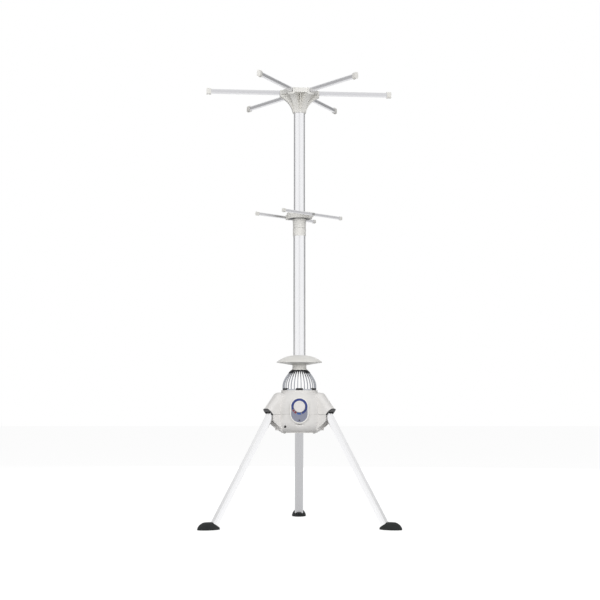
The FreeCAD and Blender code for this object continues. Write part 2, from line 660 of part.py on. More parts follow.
def cut_panel_recess(body):
    """The opening that the panel's tray sits in."""
    sketch = new_sketch(body, "XZ_Plane", "panel_face - panel_depth")
    add_outline(sketch, panel_outline("panel_rim_width"))
    pocket(body, sketch, "panel_depth + cut_overrun", back=True)


def lower_casing():
    """The bowl below the joint, with three slotted lobes under the legs and the air intake."""
    body = new_body("lower_casing")
    knee = between("casing_foot", "casing_split", BOWL_KNEE_SHARE)

    def bowl(inset, floor, top):
        side = "casing_radius - (%s)" % inset
        foot = "casing_base_radius - (%s)" % inset
        return (
            ("0", floor), (foot, floor),
            (between(side, foot, BOWL_VIA_SHARES[0]), between(floor, knee, BOWL_VIA_SHARES[1]), "via"),
            (side, knee), (side, top), ("0", top))
    revolve(body, bowl("0", "casing_foot", "casing_split"))
    sketch = new_sketch(body, "XZ_Plane", turn=leg_turn(0))
    add_outline(sketch, (
        ("casing_base_radius / 2", "lobe_foot"), ("lobe_foot_radius", "lobe_foot"),
        (between("lobe_foot_radius", "lobe_radius", LOBE_VIA_SHARES[0]),
         between("lobe_foot", "lobe_knee", LOBE_VIA_SHARES[1]), "via"),
        ("lobe_radius", "lobe_knee"), ("lobe_radius", "casing_split"),
        ("casing_base_radius / 2", "casing_split")))
    repeat(body, pad(body, sketch, "2 * shoulder_half_width", both=True), LEG_COUNT)
    revolve(body, bowl("casing_wall", "casing_foot + casing_wall", "casing_split + cut_overrun"), cut=True)
    housing = new_sketch(body, "XZ_Plane", turn=leg_turn(0))
    add_outline(housing, box_corners(
        "slot_back - casing_wall", between("slot_back", "casing_radius", SLOT_WALL_SHARE),
        "lobe_foot", "casing_split"))
    repeat(body, pad(body, housing, SLOT_WIDTH + " + 2 * casing_wall", both=True), LEG_COUNT)
    sketch = new_sketch(body, "XZ_Plane", turn=leg_turn(0))
    add_outline(sketch, box_corners(
        "slot_back", "lobe_radius + cut_overrun", "casing_foot - cut_overrun", "casing_split + cut_overrun"))
    repeat(body, pocket(body, sketch, SLOT_WIDTH, both=True), LEG_COUNT)
    intake = new_sketch(body, "XY_Plane", "casing_foot - cut_overrun")
    add_circle(intake, "0", "0", "filter_radius")
    pocket(body, intake, "casing_wall + 2 * cut_overrun", back=True)
    cut_panel_recess(body)
    inlet = new_sketch(body, "YZ_Plane", turn=bearing(size("inlet_bearing_angle")))
    add_circle(inlet, "0", "inlet_height", "inlet_neck_radius")
    pocket(body, inlet, "casing_radius + cut_overrun", back=True)
    bosses = new_sketch(body, "XY_Plane", "casing_foot + casing_wall / 2")
    add_circle(bosses, SCREW_ACROSS, SCREW_UP, "boss_radius")
    repeat(body, pad(body, bosses, "screw_length"), LEG_COUNT)
    holes = new_sketch(body, "XY_Plane", "casing_foot - cut_overrun")
    add_circle(holes, SCREW_ACROSS, SCREW_UP, "screw_radius")
    repeat(body, pocket(body, holes, "cut_overrun + screw_length", back=True), LEG_COUNT)
    notch = new_sketch(body, "XZ_Plane", "notch_floor")
    low = "notch_top - notch_height"
    add_outline(notch, (
        ("-notch_half_width", "notch_top"), (between("0", "-notch_half_width", NOTCH_SHARE), low),
        ("0", between(low, "notch_top", -NOTCH_SAG_SHARE), "via"),
        (between("0", "notch_half_width", NOTCH_SHARE), low), ("notch_half_width", "notch_top"),
        ("0", between("notch_top", low, 2 * NOTCH_SAG_SHARE), "via")))
    pocket(body, notch, "casing_radius", back=True)
    port = new_sketch(body, "XZ_Plane", "casing_base_radius / 2")
    add_circle(port, "-port_across", "casing_foot + port_rise", "port_radius")
    pocket(body, port, "casing_radius", back=True)
    return body


def brim_corner(side):
    """Front view of what is cut from one upper corner of a socket's flange to round it like its shoulder."""
    rise = "(shoulder_tip - casing_split)"
    run = "(shoulder_tip_radius - shoulder_mouth_radius)"
    low = "shoulder_tip - shoulder_round * %s / sqrt(%s ^ 2 + %s ^ 2)" % (rise, rise, run)
    edge = "%d * shoulder_half_width" % side
    inner = "%d * (shoulder_half_width - shoulder_round)" % side
    outer = "%d * (shoulder_half_width + cut_overrun)" % side
    over = "shoulder_tip + cut_overrun"
    middle = "(1 - sqrt(2) / 2)"
    return (
        (outer, low), (edge, low),
        (between(edge, inner, middle), between("shoulder_tip", low, middle), "via"),
        (inner, "shoulder_tip"), (inner, over), (outer, over))


def leg_socket(index):
    """The black liner in a shoulder, with a flange round the mouth and the pin's bore."""
    body = new_body("leg_socket_%d" % (index + 1))
    floor = "casing_split + split_groove"
    lean = "((shoulder_tip_radius - shoulder_mouth_radius) / (shoulder_tip - (%s)))" % floor
    mouth = "(shoulder_tip_radius - hood_depth * sqrt(2) - shoulder_mouth_radius)"
    climb = "((%s + (shoulder_tip - (%s)) * %s) / (%s + %s))" % (
        mouth, floor, SHOULDER_RUN, lean, SHOULDER_RUN)
    sketch = new_sketch(body, "XZ_Plane")
    roof = slot_outline("0")[2:]
    add_outline(sketch, (
        ("slot_back", floor), ("shoulder_mouth_radius", floor),
        ("shoulder_mouth_radius + %s * %s" % (climb, lean), "%s + %s" % (floor, climb))) + roof)
    pad(body, sketch, SLOT_WIDTH, both=True)
    flange = new_sketch(body, "XZ_Plane")
    add_outline(flange, (
        ("shoulder_mouth_radius", "casing_split + split_groove"),
        ("shoulder_mouth_radius + socket_flange * sin(leg_splay_angle)",
         "casing_split + split_groove - socket_flange * cos(leg_splay_angle)"),
        ("shoulder_tip_radius + socket_flange * sin(leg_splay_angle)",
         "shoulder_tip - socket_flange * cos(leg_splay_angle)"),
        ("shoulder_tip_radius", "shoulder_tip")))
    pad(body, flange, "2 * shoulder_half_width", both=True)
    rounds = new_sketch(body, "YZ_Plane", "shoulder_mouth_radius + socket_flange + socket_wall")
    for side in (1, -1):
        add_outline(rounds, brim_corner(side))
    pocket(body, rounds, "shoulder_tip_radius", back=True)
    inner = new_sketch(body, "XZ_Plane")
    add_outline(inner, slot_outline("socket_wall"))
    pocket(body, inner, SOCKET_WIDTH, both=True)
    hole = new_sketch(body, "XZ_Plane")
    add_circle(hole, "leg_pivot_radius", "leg_pivot_height", "leg_pin_radius")
    pocket(body, hole, SLOT_WIDTH + " + cut_overrun", both=True)
    body.Placement = turned_about_z(leg_turn(index))
    return body


def leg_pins():
    """Three pins across the shoulders that the legs turn on."""
    pins = []
    for index in range(LEG_COUNT):
        body = new_blank("pin")
        sketch = new_sketch(body, "XZ_Plane")
        add_circle(sketch, "leg_pivot_radius", "leg_pivot_height", "leg_pin_radius")
        pad(body, sketch, SLOT_WIDTH + " + casing_wall", both=True)
        body.Placement = turned_about_z(leg_turn(index))
        pins.append(body)
    group = doc.addObject("Part::Compound", "leg_pins")
    group.Links = pins
    return keep(group, "leg_pins")


def place_leg(body, index):
    """Hang a piece built along -Z from the origin on one leg's pin, at the leg's lean."""
    lean = FreeCAD.Rotation(FreeCAD.Vector(0, 1, 0), -size("leg_splay_angle"))
    turn = turned_about_z(leg_turn(index), (size("leg_pivot_radius"), 0, size("leg_pivot_height")))
    body.Placement = turn.multiply(FreeCAD.Placement(FreeCAD.Vector(0, 0, 0), lean))


def leg(index):
    """One leg, a flat tube bored for its pin, with a head that is round outside and square inside."""
    body = new_body("leg_%d" % (index + 1))
    outer = new_sketch(body, "XY_Plane", "-(%s)" % LEG_LENGTH)
    add_outline(outer, rounded_box("leg_depth / 2", "leg_width / 2", "leg_corner"))
    pad(body, outer, LEG_LENGTH + " + leg_depth / 2")
    inner = new_sketch(body, "XY_Plane", "-(%s) - cut_overrun" % LEG_LENGTH)
    add_outline(inner, rounded_box(
        "leg_depth / 2 - leg_wall", "leg_width / 2 - leg_wall", "leg_corner - leg_wall"))
    pocket(body, inner, LEG_LENGTH + " + leg_depth / 2 + 2 * cut_overrun", back=True)
    brow = new_sketch(body, "XZ_Plane")
    add_outline(brow, (
        ("leg_depth / 2", "0"),
        ("leg_depth / 2 * cos(eighth_turn)", "leg_depth / 2 * sin(eighth_turn)", "via"),
        ("0", "leg_depth / 2"), ("0", "leg_depth"), ("leg_depth", "leg_depth"), ("leg_depth", "0")))
    pocket(body, brow, "leg_width + cut_overrun", both=True)
    bore = new_sketch(body, "XZ_Plane")
    add_circle(bore, "0", "0", "leg_pin_radius + pin_gap")
    pocket(body, bore, "leg_width + cut_overrun", both=True)
    place_leg(body, index)
    return body


def oval_wire(share, height):
    """A level oval, a share of the sole's size."""
    centre = FreeCAD.Vector(size(LEG_END + " + foot_toe_shift"), 0, height)
    oval = Part.Ellipse(centre, share * size("foot_length") / 2, share * size("foot_width") / 2)
    return Part.Wire([oval.toShape()])


def foot(index):
    """One black rubber foot: a low dome on an oval sole, cut square to the leg that stands in it."""
    piece = keep(doc.addObject("Part::Feature", "foot_%d" % (index + 1)), "foot_%d" % (index + 1))
    sole = Part.Face(oval_wire(1.0, 0)).extrude(FreeCAD.Vector(0, 0, size("foot_sole")))
    rise = size("foot_height - foot_sole")
    sections = [oval_wire(spread, size("foot_sole") + rise * up) for spread, up in FOOT_SHARES]
    dome = Part.makeLoft(sections, True, False)
    apex = FreeCAD.Vector(size(LEG_END + " + foot_apex_shift"), 0, size("foot_apex"))
    lean = FreeCAD.Rotation(FreeCAD.Vector(0, 1, 0), -size("leg_splay_angle"))
    reach = 2 * size("foot_length")
    lid = Part.makeBox(reach, reach, reach, FreeCAD.Vector(-reach, -reach / 2, 0))
    lid.Placement = FreeCAD.Placement(apex, lean).multiply(lid.Placement)
    hub = FreeCAD.Vector(size("leg_pivot_radius"), 0, size("leg_pivot_height"))
    stub_length = size(LEG_LENGTH)
    half_x = size("leg_depth / 2")
    half_y = size("leg_width / 2")
    stub = Part.makeBox(2 * half_x, 2 * half_y, stub_length, FreeCAD.Vector(-half_x, -half_y, -stub_length))
    upright = [edge for edge in stub.Edges if edge.BoundBox.ZLength > stub_length / 2]
    stub = stub.makeFillet(size("leg_corner"), upright)
    stub.Placement = FreeCAD.Placement(hub, lean).multiply(stub.Placement)
    piece.Shape = sole.fuse(dome).cut(lid).cut(stub).removeSplitter()
    piece.Placement = turned_about_z(leg_turn(index))
    return piece


def mast_parts():
    """Two telescoping tubes, the sliding bush between them and the twist lock at the joint."""
    tube("lower_mast", "mast_lower_radius", "mast_lower_radius - mast_wall",
         "mast_lower_foot", "mast_lower_top")
    tube("upper_mast", "mast_upper_radius", "mast_upper_radius - mast_wall", "mast_upper_foot",
         "hub_foot + mast_seat_depth")
    bush = new_body("mast_bush")
    inner = "mast_upper_radius - mast_wall"
    revolve(bush, (
        (inner + " - 2 * bush_lip", "mast_upper_foot - bush_lip"),
        ("mast_upper_radius", "mast_upper_foot - bush_lip"),
        ("mast_upper_radius", "mast_upper_foot"), (inner, "mast_upper_foot"),
        (inner, "mast_upper_foot + bush_length"),
        (inner + " - 2 * bush_lip", "mast_upper_foot + bush_length")))
    low = "mast_lower_top - lock_socket_height / 2"
    socket = new_body("lock_socket")
    bore = "mast_upper_radius + running_gap"
    revolve(socket, (
        ("mast_lower_radius", low), ("lock_socket_radius", low),
        ("lock_socket_radius", low + " + lock_socket_height"),
        (bore, low + " + lock_socket_height"), (bore, "mast_lower_top"),
        ("mast_lower_radius", "mast_lower_top")))
    ring = new_body("lock_ring")
    foot_height = low + " + lock_socket_height + lock_groove"
    revolve(ring, (
        (bore, foot_height), ("lock_ring_low_radius", foot_height),
        ("lock_ring_top_radius", foot_height + " + lock_ring_height"),
        (bore, foot_height + " + lock_ring_height")))


def ring_of(count):
    """The turns of a ring of pieces."""
    return [index * FULL_TURN / count for index in range(count)]


def hexagon(apothem):
    """The corners of a hexagon with a corner towards +X."""
    reach = "(%s) / cos(30)" % apothem
    return [("%s * cos(%d)" % (reach, 60 * index), "%s * sin(%d)" % (reach, 60 * index))
            for index in range(6)]


def top_hub():
    """The hub: a ribbed trumpet with a hexagonal rim and six open slots for the arms."""
    body = new_body("top_hub")
    rim_foot = "hub_top - hub_rim_height"
    rim = new_sketch(body, "XY_Plane", rim_foot)
    add_outline(rim, hexagon("hub_flat_radius"))
    pad(body, rim, "hub_rim_height")
    well = new_sketch(body, "XY_Plane", rim_foot + " + hub_floor")
    add_outline(well, hexagon("hub_flat_radius - hub_wall"))
    pocket(body, well, "hub_rim_height", back=True)
    revolve(body, (("0", "hub_foot"), ("hub_sleeve_radius", "hub_foot"),
                   ("hub_sleeve_radius", "hub_top - hub_lid_thickness"),
                   ("0", "hub_top - hub_lid_thickness")))
    nose_foot = "hub_top - arm_centre_drop - %s - hub_wall" % ARM_SWING
    nose = new_sketch(body, "XZ_Plane")
    add_outline(nose, box_corners("mast_upper_radius", "hub_corner_radius", nose_foot, "hub_top"))
    repeat(body, pad(body, nose, "hub_nose_width", both=True), ARM_COUNT)
    add_gussets(body, "hub_corner_radius - hub_wall", nose_foot, "hub_foot + hub_wall",
                "hub_nose_width - 2 * hub_wall", 0.0)
    add_gussets(body, "hub_flat_radius - 4 * hub_wall", rim_foot, "hub_foot + 6 * hub_wall", "hub_wall",
                FULL_TURN / ARM_COUNT / 2)
    revolve(body, box_corners(
        "hub_corner_radius", "hub_corner_radius * 2", "hub_foot", "hub_top + cut_overrun"), cut=True)
    revolve(body, box_corners("0", "hub_lid_radius", "hub_top - hub_lid_thickness", "hub_top + cut_overrun"),
            cut=True)
    slot = new_sketch(body, "XZ_Plane")
    back = "arm_pivot_radius - " + ARM_SWING
    lip = "2 * arm_pivot_radius - arm_root"
    lip_top = "hub_top - arm_centre_drop - arm_height / 2 - running_gap"
    deep = "hub_top - arm_centre_drop - " + ARM_SWING
    over = "hub_top + cut_overrun"
    add_outline(slot, (
        (back, deep), (lip, deep), (lip, lip_top), ("hub_corner_radius + cut_overrun", lip_top),
        ("hub_corner_radius + cut_overrun", over), (back, over)))
    repeat(body, pocket(body, slot, ARM_SLOT, both=True), ARM_COUNT)
    bore = new_sketch(body, "XZ_Plane")
    add_circle(bore, "arm_pivot_radius", "hub_top - arm_centre_drop", "arm_pin_radius")
    repeat(body, pocket(body, bore, "hub_nose_width - hub_wall", both=True), ARM_COUNT)
    mast = new_sketch(body, "XY_Plane", "hub_foot - cut_overrun")
    add_circle(mast, "0", "0", "mast_upper_radius")
    pocket(body, mast, "cut_overrun + mast_seat_depth", back=True)
    body.Placement = turned_about_z(bearing(size("arm_first_angle")))
    return body


def add_gussets(body, reach, top, foot_height, width, turn):
    """Six curved ribs that run from the hub's sleeve out to its rim."""
    sketch = new_sketch(body, "XZ_Plane", turn=turn)
    add_outline(sketch, (
        ("mast_upper_radius", foot_height), ("hub_sleeve_radius", foot_height),
        (between("hub_sleeve_radius", reach, GUSSET_VIA_SHARES[0]),
         between(foot_height, top, GUSSET_VIA_SHARES[1]), "via"),
        (reach, top), ("mast_upper_radius", top)))
    repeat(body, pad(body, sketch, width, both=True), ARM_COUNT)


def hub_cover():
    """The disc that closes the hub's middle."""
    body = new_body("hub_cover")
    revolve(body, box_corners("0", "hub_lid_radius", "hub_top - hub_lid_thickness", "hub_top"))
    return body


def arm_placement(index):
    """Where the arm built along +X at the origin's height stands in the hub."""
    turn = bearing(size("arm_first_angle")) + index * FULL_TURN / ARM_COUNT
    return turned_about_z(turn, (0, 0, size("hub_top - arm_centre_drop")))


def arm(index):
    """One hanging arm, a flat-oval rail open at its inner end."""
    body = new_body("arm_%d" % (index + 1))
    outer = new_sketch(body, "YZ_Plane", "arm_root")
    add_outline(outer, rounded_box("arm_width / 2", "arm_height / 2", ARM_ROUND))
    pad(body, outer, "arm_tip_radius - arm_cap_lip - arm_root")
    inner = new_sketch(body, "YZ_Plane", "arm_root - cut_overrun")
    add_outline(inner, rounded_box(
        "arm_width / 2 - arm_wall", "arm_height / 2 - arm_wall", ARM_ROUND + " - arm_wall"))
    pocket(body, inner, "arm_tip_radius", back=True)
    bore = new_sketch(body, "XZ_Plane")
    add_circle(bore, "arm_pivot_radius", "0", "arm_pin_radius + pin_gap")
    pocket(body, bore, "arm_width + cut_overrun", both=True)
    body.Placement = arm_placement(index)
    return body


def arm_cap(index):
    """The cap pushed over an arm's tip, with a lip above the rail and a notch in its underside."""
    body = new_body("arm_cap_%d" % (index + 1))
    outer = new_sketch(body, "YZ_Plane", "arm_tip_radius - arm_cap_length")
    add_outline(outer, rounded_box(
        "arm_width / 2 + arm_cap_lip / 2", "arm_height / 2 + arm_cap_lip", ARM_ROUND + " + arm_cap_lip / 4"))
    pad(body, outer, "arm_cap_length")
    well = new_sketch(body, "YZ_Plane", "arm_tip_radius - arm_cap_length - cut_overrun")
    add_outline(well, rounded_box("arm_width / 2", "arm_height / 2", ARM_ROUND))
    pocket(body, well, "arm_cap_length - arm_cap_lip + cut_overrun", back=True)
    notch = new_sketch(body, "XZ_Plane")
    start = between("arm_tip_radius", "arm_tip_radius - arm_cap_length", CAP_NOTCH_SHARE)
    add_outline(notch, box_corners(
        start, start + " + arm_cap_notch", "-arm_height / 2 - arm_cap_lip - cut_overrun",
        "-arm_height / 2 - arm_cap_lip / 3"))
    pocket(body, notch, "arm_width + 2 * cut_overrun", both=True)
    body.Placement = arm_placement(index)
    return body


def arm_pins():
    """Six pins across the hub's slots."""
    pins = []
    for index in range(ARM_COUNT):
        body = new_blank("pin")
        sketch = new_sketch(body, "XZ_Plane")
        add_circle(sketch, "arm_pivot_radius", "0", "arm_pin_radius")
        pad(body, sketch, "hub_nose_width - hub_wall", both=True)
        body.Placement = arm_placement(index)
        pins.append(body)
    group = doc.addObject("Part::Compound", "arm_pins")
    group.Links = pins
    return keep(group, "arm_pins")


def rail_carrier():
    """The fluted ring round the mast with two lugs that carry the short rails."""
    body = new_body("rail_carrier")
    bore = "mast_upper_radius + running_gap"
    top = "carrier_foot + carrier_height"
    revolve(body, (
        (bore, "carrier_foot"), (bore + " + carrier_wall", "carrier_foot"),
        (bore + " + carrier_wall", top + " - carrier_wall"),
        ("carrier_radius - 2 * carrier_wall", top + " - carrier_wall"),
        ("carrier_radius - 2 * carrier_wall", "carrier_foot"), ("carrier_radius", "carrier_foot"),
        ("carrier_radius", top), (bore, top)))
    flute = new_sketch(body, "XY_Plane", "carrier_foot - cut_overrun")
    add_circle(flute, "carrier_radius + carrier_flute_radius - carrier_wall / 2", "0", "carrier_flute_radius")
    cut = pocket(body, flute, "carrier_height + 2 * cut_overrun", back=True)
    repeat(body, cut, "carrier_flute_count")
    lug = new_sketch(body, "XZ_Plane")
    add_outline(lug, box_corners(
        "carrier_radius - 2 * carrier_wall", "rail_offset - rail_width / 2 - running_gap",
        "carrier_foot + carrier_wall / 2", top + " - carrier_wall"))
    repeat(body, pad(body, lug, "rail_lug_width", both=True), 2)
    bore = new_sketch(body, "YZ_Plane", "carrier_radius - carrier_wall")
    add_circle(bore, "0", RAIL_HEIGHT, "rail_pin_radius")
    repeat(body, pocket(body, bore, "rail_offset", back=True), 2)
    body.Placement = turned_about_z(bearing(size("rail_bearing_angle")))
    return body


def carrier_washer():
    """The black washer that closes the hollow in the rail carrier's underside."""
    bore = "mast_upper_radius + running_gap + carrier_wall"
    return tube("carrier_washer", "carrier_radius - 2 * carrier_wall", bore,
                "carrier_foot", "carrier_foot + washer_height")


def rail_placement(index):
    """Where a rail built along Y at the lug's reach stands."""
    turn = bearing(size("rail_bearing_angle")) + index * FULL_TURN / 2
    return turned_about_z(turn, (0, 0, size(RAIL_HEIGHT)))


def rail(index):
    """One short hanging rail, a flat tube turning on its lug's pivot."""
    body = new_body("rail_%d" % (index + 1))
    length = "(rail_half_length - rail_cap_lip)"
    outer = new_sketch(body, "XZ_Plane", "-" + length)
    add_rail_section(outer, "0")
    pad(body, outer, "2 * " + length)
    inner = new_sketch(body, "XZ_Plane", "-%s - cut_overrun" % length)
    add_rail_section(inner, "rail_wall")
    pocket(body, inner, "2 * %s + 2 * cut_overrun" % length, back=True)
    bore = new_sketch(body, "YZ_Plane", "rail_offset - rail_width")
    add_circle(bore, "0", "0", "rail_pin_radius + pin_gap")
    pocket(body, bore, "2 * rail_width", back=True)
    body.Placement = rail_placement(index)
    return body


def add_rail_section(sketch, inset):
    """A rail's section about its own centre line, drawn in by its wall or grown by a cap."""
    left = "rail_offset - rail_width / 2 + (%s)" % inset
    right = "rail_offset + rail_width / 2 - (%s)" % inset
    low = "-rail_height / 2 + (%s)" % inset
    high = "rail_height / 2 - (%s)" % inset
    cut = "rail_width * %s" % RAIL_CHAMFER_SHARE
    add_outline(sketch, (
        (left + " + " + cut, low), (right + " - " + cut, low), (right, low + " + " + cut),
        (right, high + " - " + cut), (right + " - " + cut, high), (left + " + " + cut, high),
        (left, high + " - " + cut), (left, low + " + " + cut)))


def rail_caps(index):
    """The two end caps of one rail."""
    caps = []
    for side in (-1, 1):
        body = new_blank("cap")
        outer = new_sketch(body, "XZ_Plane", "rail_half_length - rail_cap_length")
        add_rail_section(outer, "-rail_cap_lip")
        pad(body, outer, "rail_cap_length")
        well = new_sketch(body, "XZ_Plane", "rail_half_length - rail_cap_length - cut_overrun")
        add_rail_section(well, "0")
        pocket(body, well, "rail_cap_length - rail_cap_lip + cut_overrun", back=True)
        if side > 0:
            spin = FreeCAD.Rotation(FreeCAD.Vector(1, 0, 0), FULL_TURN / 2)
            body.Placement = rail_placement(index).multiply(FreeCAD.Placement(FreeCAD.Vector(0, 0, 0), spin))
        else:
            body.Placement = rail_placement(index)
        caps.append(body)
    group = doc.addObject("Part::Compound", "rail_caps_%d" % (index + 1))
    group.Links = caps
    return keep(group, "rail_caps_%d" % (index + 1))


def rail_pivots():
    """Two headed pivots that hold the rails to the carrier."""
    pivots = []
    for index in range(2):
        body = new_blank("pivot")
        shank = new_sketch(body, "YZ_Plane", "carrier_radius - carrier_wall")
        add_circle(shank, "0", "0", "rail_pin_radius")
        pad(body, shank, "rail_offset + rail_width / 2 + running_gap - carrier_radius + carrier_wall")
        head = new_sketch(body, "YZ_Plane", "rail_offset + rail_width / 2 + running_gap")
        add_circle(head, "0", "0", "rail_pin_head")
        pad(body, head, "rail_pin_head_height")
        body.Placement = rail_placement(index)
        pivots.append(body)
    group = doc.addObject("Part::Compound", "rail_pivots")
    group.Links = pivots
    return keep(group, "rail_pivots")


def outlet_cage():
    """The bell of ribs over the air outlet, between a base ring and a top hoop."""
    body = new_body("outlet_cage")
    inner = "cage_radius - cage_rib_depth"
    base_top = "outlet_height + cage_base_height"
    rib_top = "cage_top - cage_ring_height"
    slope = "(cage_radius - cage_top_radius - cage_rib_depth) / (cage_top - cage_shoulder)"
    reach = "cage_top_radius + cage_ring_height * %s" % slope
    revolve(body, box_corners(inner, "cage_radius", "outlet_height", base_top))
    revolve(body, box_corners(reach + " - cage_hoop_width", reach, rib_top + " - cage_hoop_height", rib_top))
    rib = new_sketch(body, "XZ_Plane")
    thin, thick, thickest = RIB_THICK_SHARES
    bend = between("outlet_height", "cage_shoulder", CAGE_BEND_SHARE)
    add_outline(rib, (
        (inner, "outlet_height"), ("cage_radius", "outlet_height"), ("cage_radius", bend),
        ("cage_radius - cage_rib_depth * %s" % thin, "cage_shoulder"), (reach, rib_top),
        (reach + " - cage_rib_depth * %s" % thick, rib_top),
        ("cage_radius - cage_rib_depth * %s" % thickest, "cage_shoulder"),
        (inner, bend)))
    repeat(body, pad(body, rib, "cage_rib_width", both=True), "cage_rib_count")


def cage_ring():
    """The black ring that closes the cage's top under the mast socket."""
    body = new_body("cage_ring")
    low = "cage_top - cage_ring_height"
    slope = "(cage_radius - cage_top_radius - cage_rib_depth) / (cage_top - cage_shoulder)"
    revolve(body, (("0", low), ("cage_top_radius + cage_ring_height * %s" % slope, low),
                   ("cage_top_radius", "cage_top"), ("0", "cage_top")))
    return body


def mast_socket():
    """The pale socket on the cage that the lower mast stands in."""
    body = new_body("mast_socket")
    flange_top = "cage_top + neck_flange_height"
    revolve(body, (
        ("0", "cage_top"), ("neck_flange_radius", "cage_top"), ("neck_flange_radius", flange_top),
        ("neck_radius", flange_top), ("neck_radius", "neck_top"), ("mast_lower_radius", "neck_top"),
        ("mast_lower_radius", "mast_lower_foot"), ("0", "mast_lower_foot")))
    return body


def air_deflector():
    """The domed cap that turns the warm air outwards, and the plate that closes it below."""
    body = new_body("air_deflector")
    bore = "mast_lower_radius + deflector_gap"
    edge = "deflector_radius"

    def skin(inset):
        via_height = between("deflector_edge", "deflector_crown", DEFLECTOR_VIA_SHARES[1])
        return (("deflector_crown_radius - (%s)" % inset, "deflector_crown - (%s)" % inset),
                (between("deflector_crown_radius", edge, DEFLECTOR_VIA_SHARES[0]),
                 via_height + " - (%s)" % inset, "via"),
                (edge + " - (%s)" % inset, "deflector_edge" if inset == "0" else "deflector_rim"))
    outer = skin("0")
    inner = skin("deflector_wall")
    revolve(body, (
        (bore, "deflector_top - deflector_wall"), (bore, "deflector_top"), outer[0], outer[1], outer[2],
        (edge, "deflector_rim"), inner[2], inner[1], inner[0],
        ("neck_radius", "deflector_crown - deflector_wall")))
    plate = new_body("deflector_plate")
    rim = "deflector_radius - deflector_wall"
    revolve(plate, (
        ("neck_radius", "deflector_floor"), (rim + " - deflector_wall", "deflector_rim - deflector_wall / 4"),
        (rim, "deflector_rim"), (rim + " - deflector_wall", "deflector_rim + deflector_wall / 2"),
        ("neck_radius", "deflector_floor + deflector_wall")))
    return body


def control_panel():
    """The panel's tray, the pale rim round it, the timer knob and the indicator lens."""
    rim = new_body("panel_rim")
    sketch = new_sketch(rim, "XZ_Plane", "panel_face - panel_depth")
    add_outline(sketch, panel_outline("panel_rim_width"))
    pad(rim, sketch, "panel_depth + panel_rim_proud")
    sketch = new_sketch(rim, "XZ_Plane", "panel_face - panel_depth - cut_overrun")
    add_outline(sketch, panel_outline("0"))
    pocket(rim, sketch, "panel_depth + panel_rim_proud + 2 * cut_overrun", back=True)
    tray = new_body("control_panel")
    sketch = new_sketch(tray, "XZ_Plane", "panel_face - panel_depth")
    add_outline(sketch, panel_outline("0"))
    pad(tray, sketch, "panel_depth")
    sketch = new_sketch(tray, "XZ_Plane", "panel_face - panel_depth - cut_overrun")
    add_outline(sketch, panel_outline("-panel_wall"))
    pocket(tray, sketch, "panel_depth - panel_skin + cut_overrun", back=True)
    for up, radius in (
            ("panel_height", "knob_shaft_radius + running_gap"), ("panel_height - lens_drop", "lens_radius")):
        sketch = new_sketch(tray, "XZ_Plane", "panel_face - panel_skin - cut_overrun")
        add_circle(sketch, "0", up, radius)
        pocket(tray, sketch, "panel_skin + 2 * cut_overrun", back=True)
    lens = new_body("indicator_lens")
    sketch = new_sketch(lens, "XZ_Plane", "panel_face - panel_skin")
    add_circle(sketch, "0", "panel_height - lens_drop", "lens_radius")
    pad(lens, sketch, "panel_skin + lens_proud")
    knob = new_body("timer_knob")
    sketch = new_sketch(knob, "XZ_Plane", "panel_face + running_gap")
    add_circle(sketch, "0", "panel_height", "knob_radius")
    pad(knob, sketch, "knob_height")
    front = -size("panel_face + running_gap + knob_height")
    soften(knob, "knob_round", lambda edge: edge.BoundBox.YMax < front + TOUCH)
    sketch = new_sketch(knob, "XZ_Plane", "panel_face + running_gap + knob_height - knob_dish")
    add_circle(sketch, "0", "panel_height", "knob_dish_radius")
    pocket(knob, sketch, "knob_dish + cut_overrun", back=True)
    sketch = new_sketch(knob, "XZ_Plane", "panel_face + running_gap + knob_height - 2 * knob_dish")
    add_outline(sketch, box_corners("-knob_mark_width / 2", "knob_mark_width / 2",
                                    "panel_height + knob_dish_radius - knob_mark_length",
                                    "panel_height + knob_dish_radius - knob_mark_width"))
    pocket(knob, sketch, "2 * knob_dish + cut_overrun", back=True)
    sketch = new_sketch(knob, "XZ_Plane", "panel_face - panel_skin - timer_depth / 2")
    add_circle(sketch, "0", "panel_height", "knob_shaft_radius")
    pad(knob, sketch, "panel_skin + timer_depth / 2 + running_gap + knob_height / 2")
    timer = new_body("timer_switch")
    sketch = new_sketch(timer, "XZ_Plane", "panel_face - panel_skin - timer_depth")
    half = "timer_size / 2"
    add_outline(sketch, box_corners("-" + half, half, "panel_height - " + half, "panel_height + " + half))
    pad(timer, sketch, "timer_depth")
    sketch = new_sketch(timer, "XZ_Plane", "panel_face - panel_skin - timer_depth / 2 - cut_overrun")
    add_circle(sketch, "0", "panel_height", "knob_shaft_radius + pin_gap")
    pocket(timer, sketch, "timer_depth / 2 + 2 * cut_overrun", back=True)


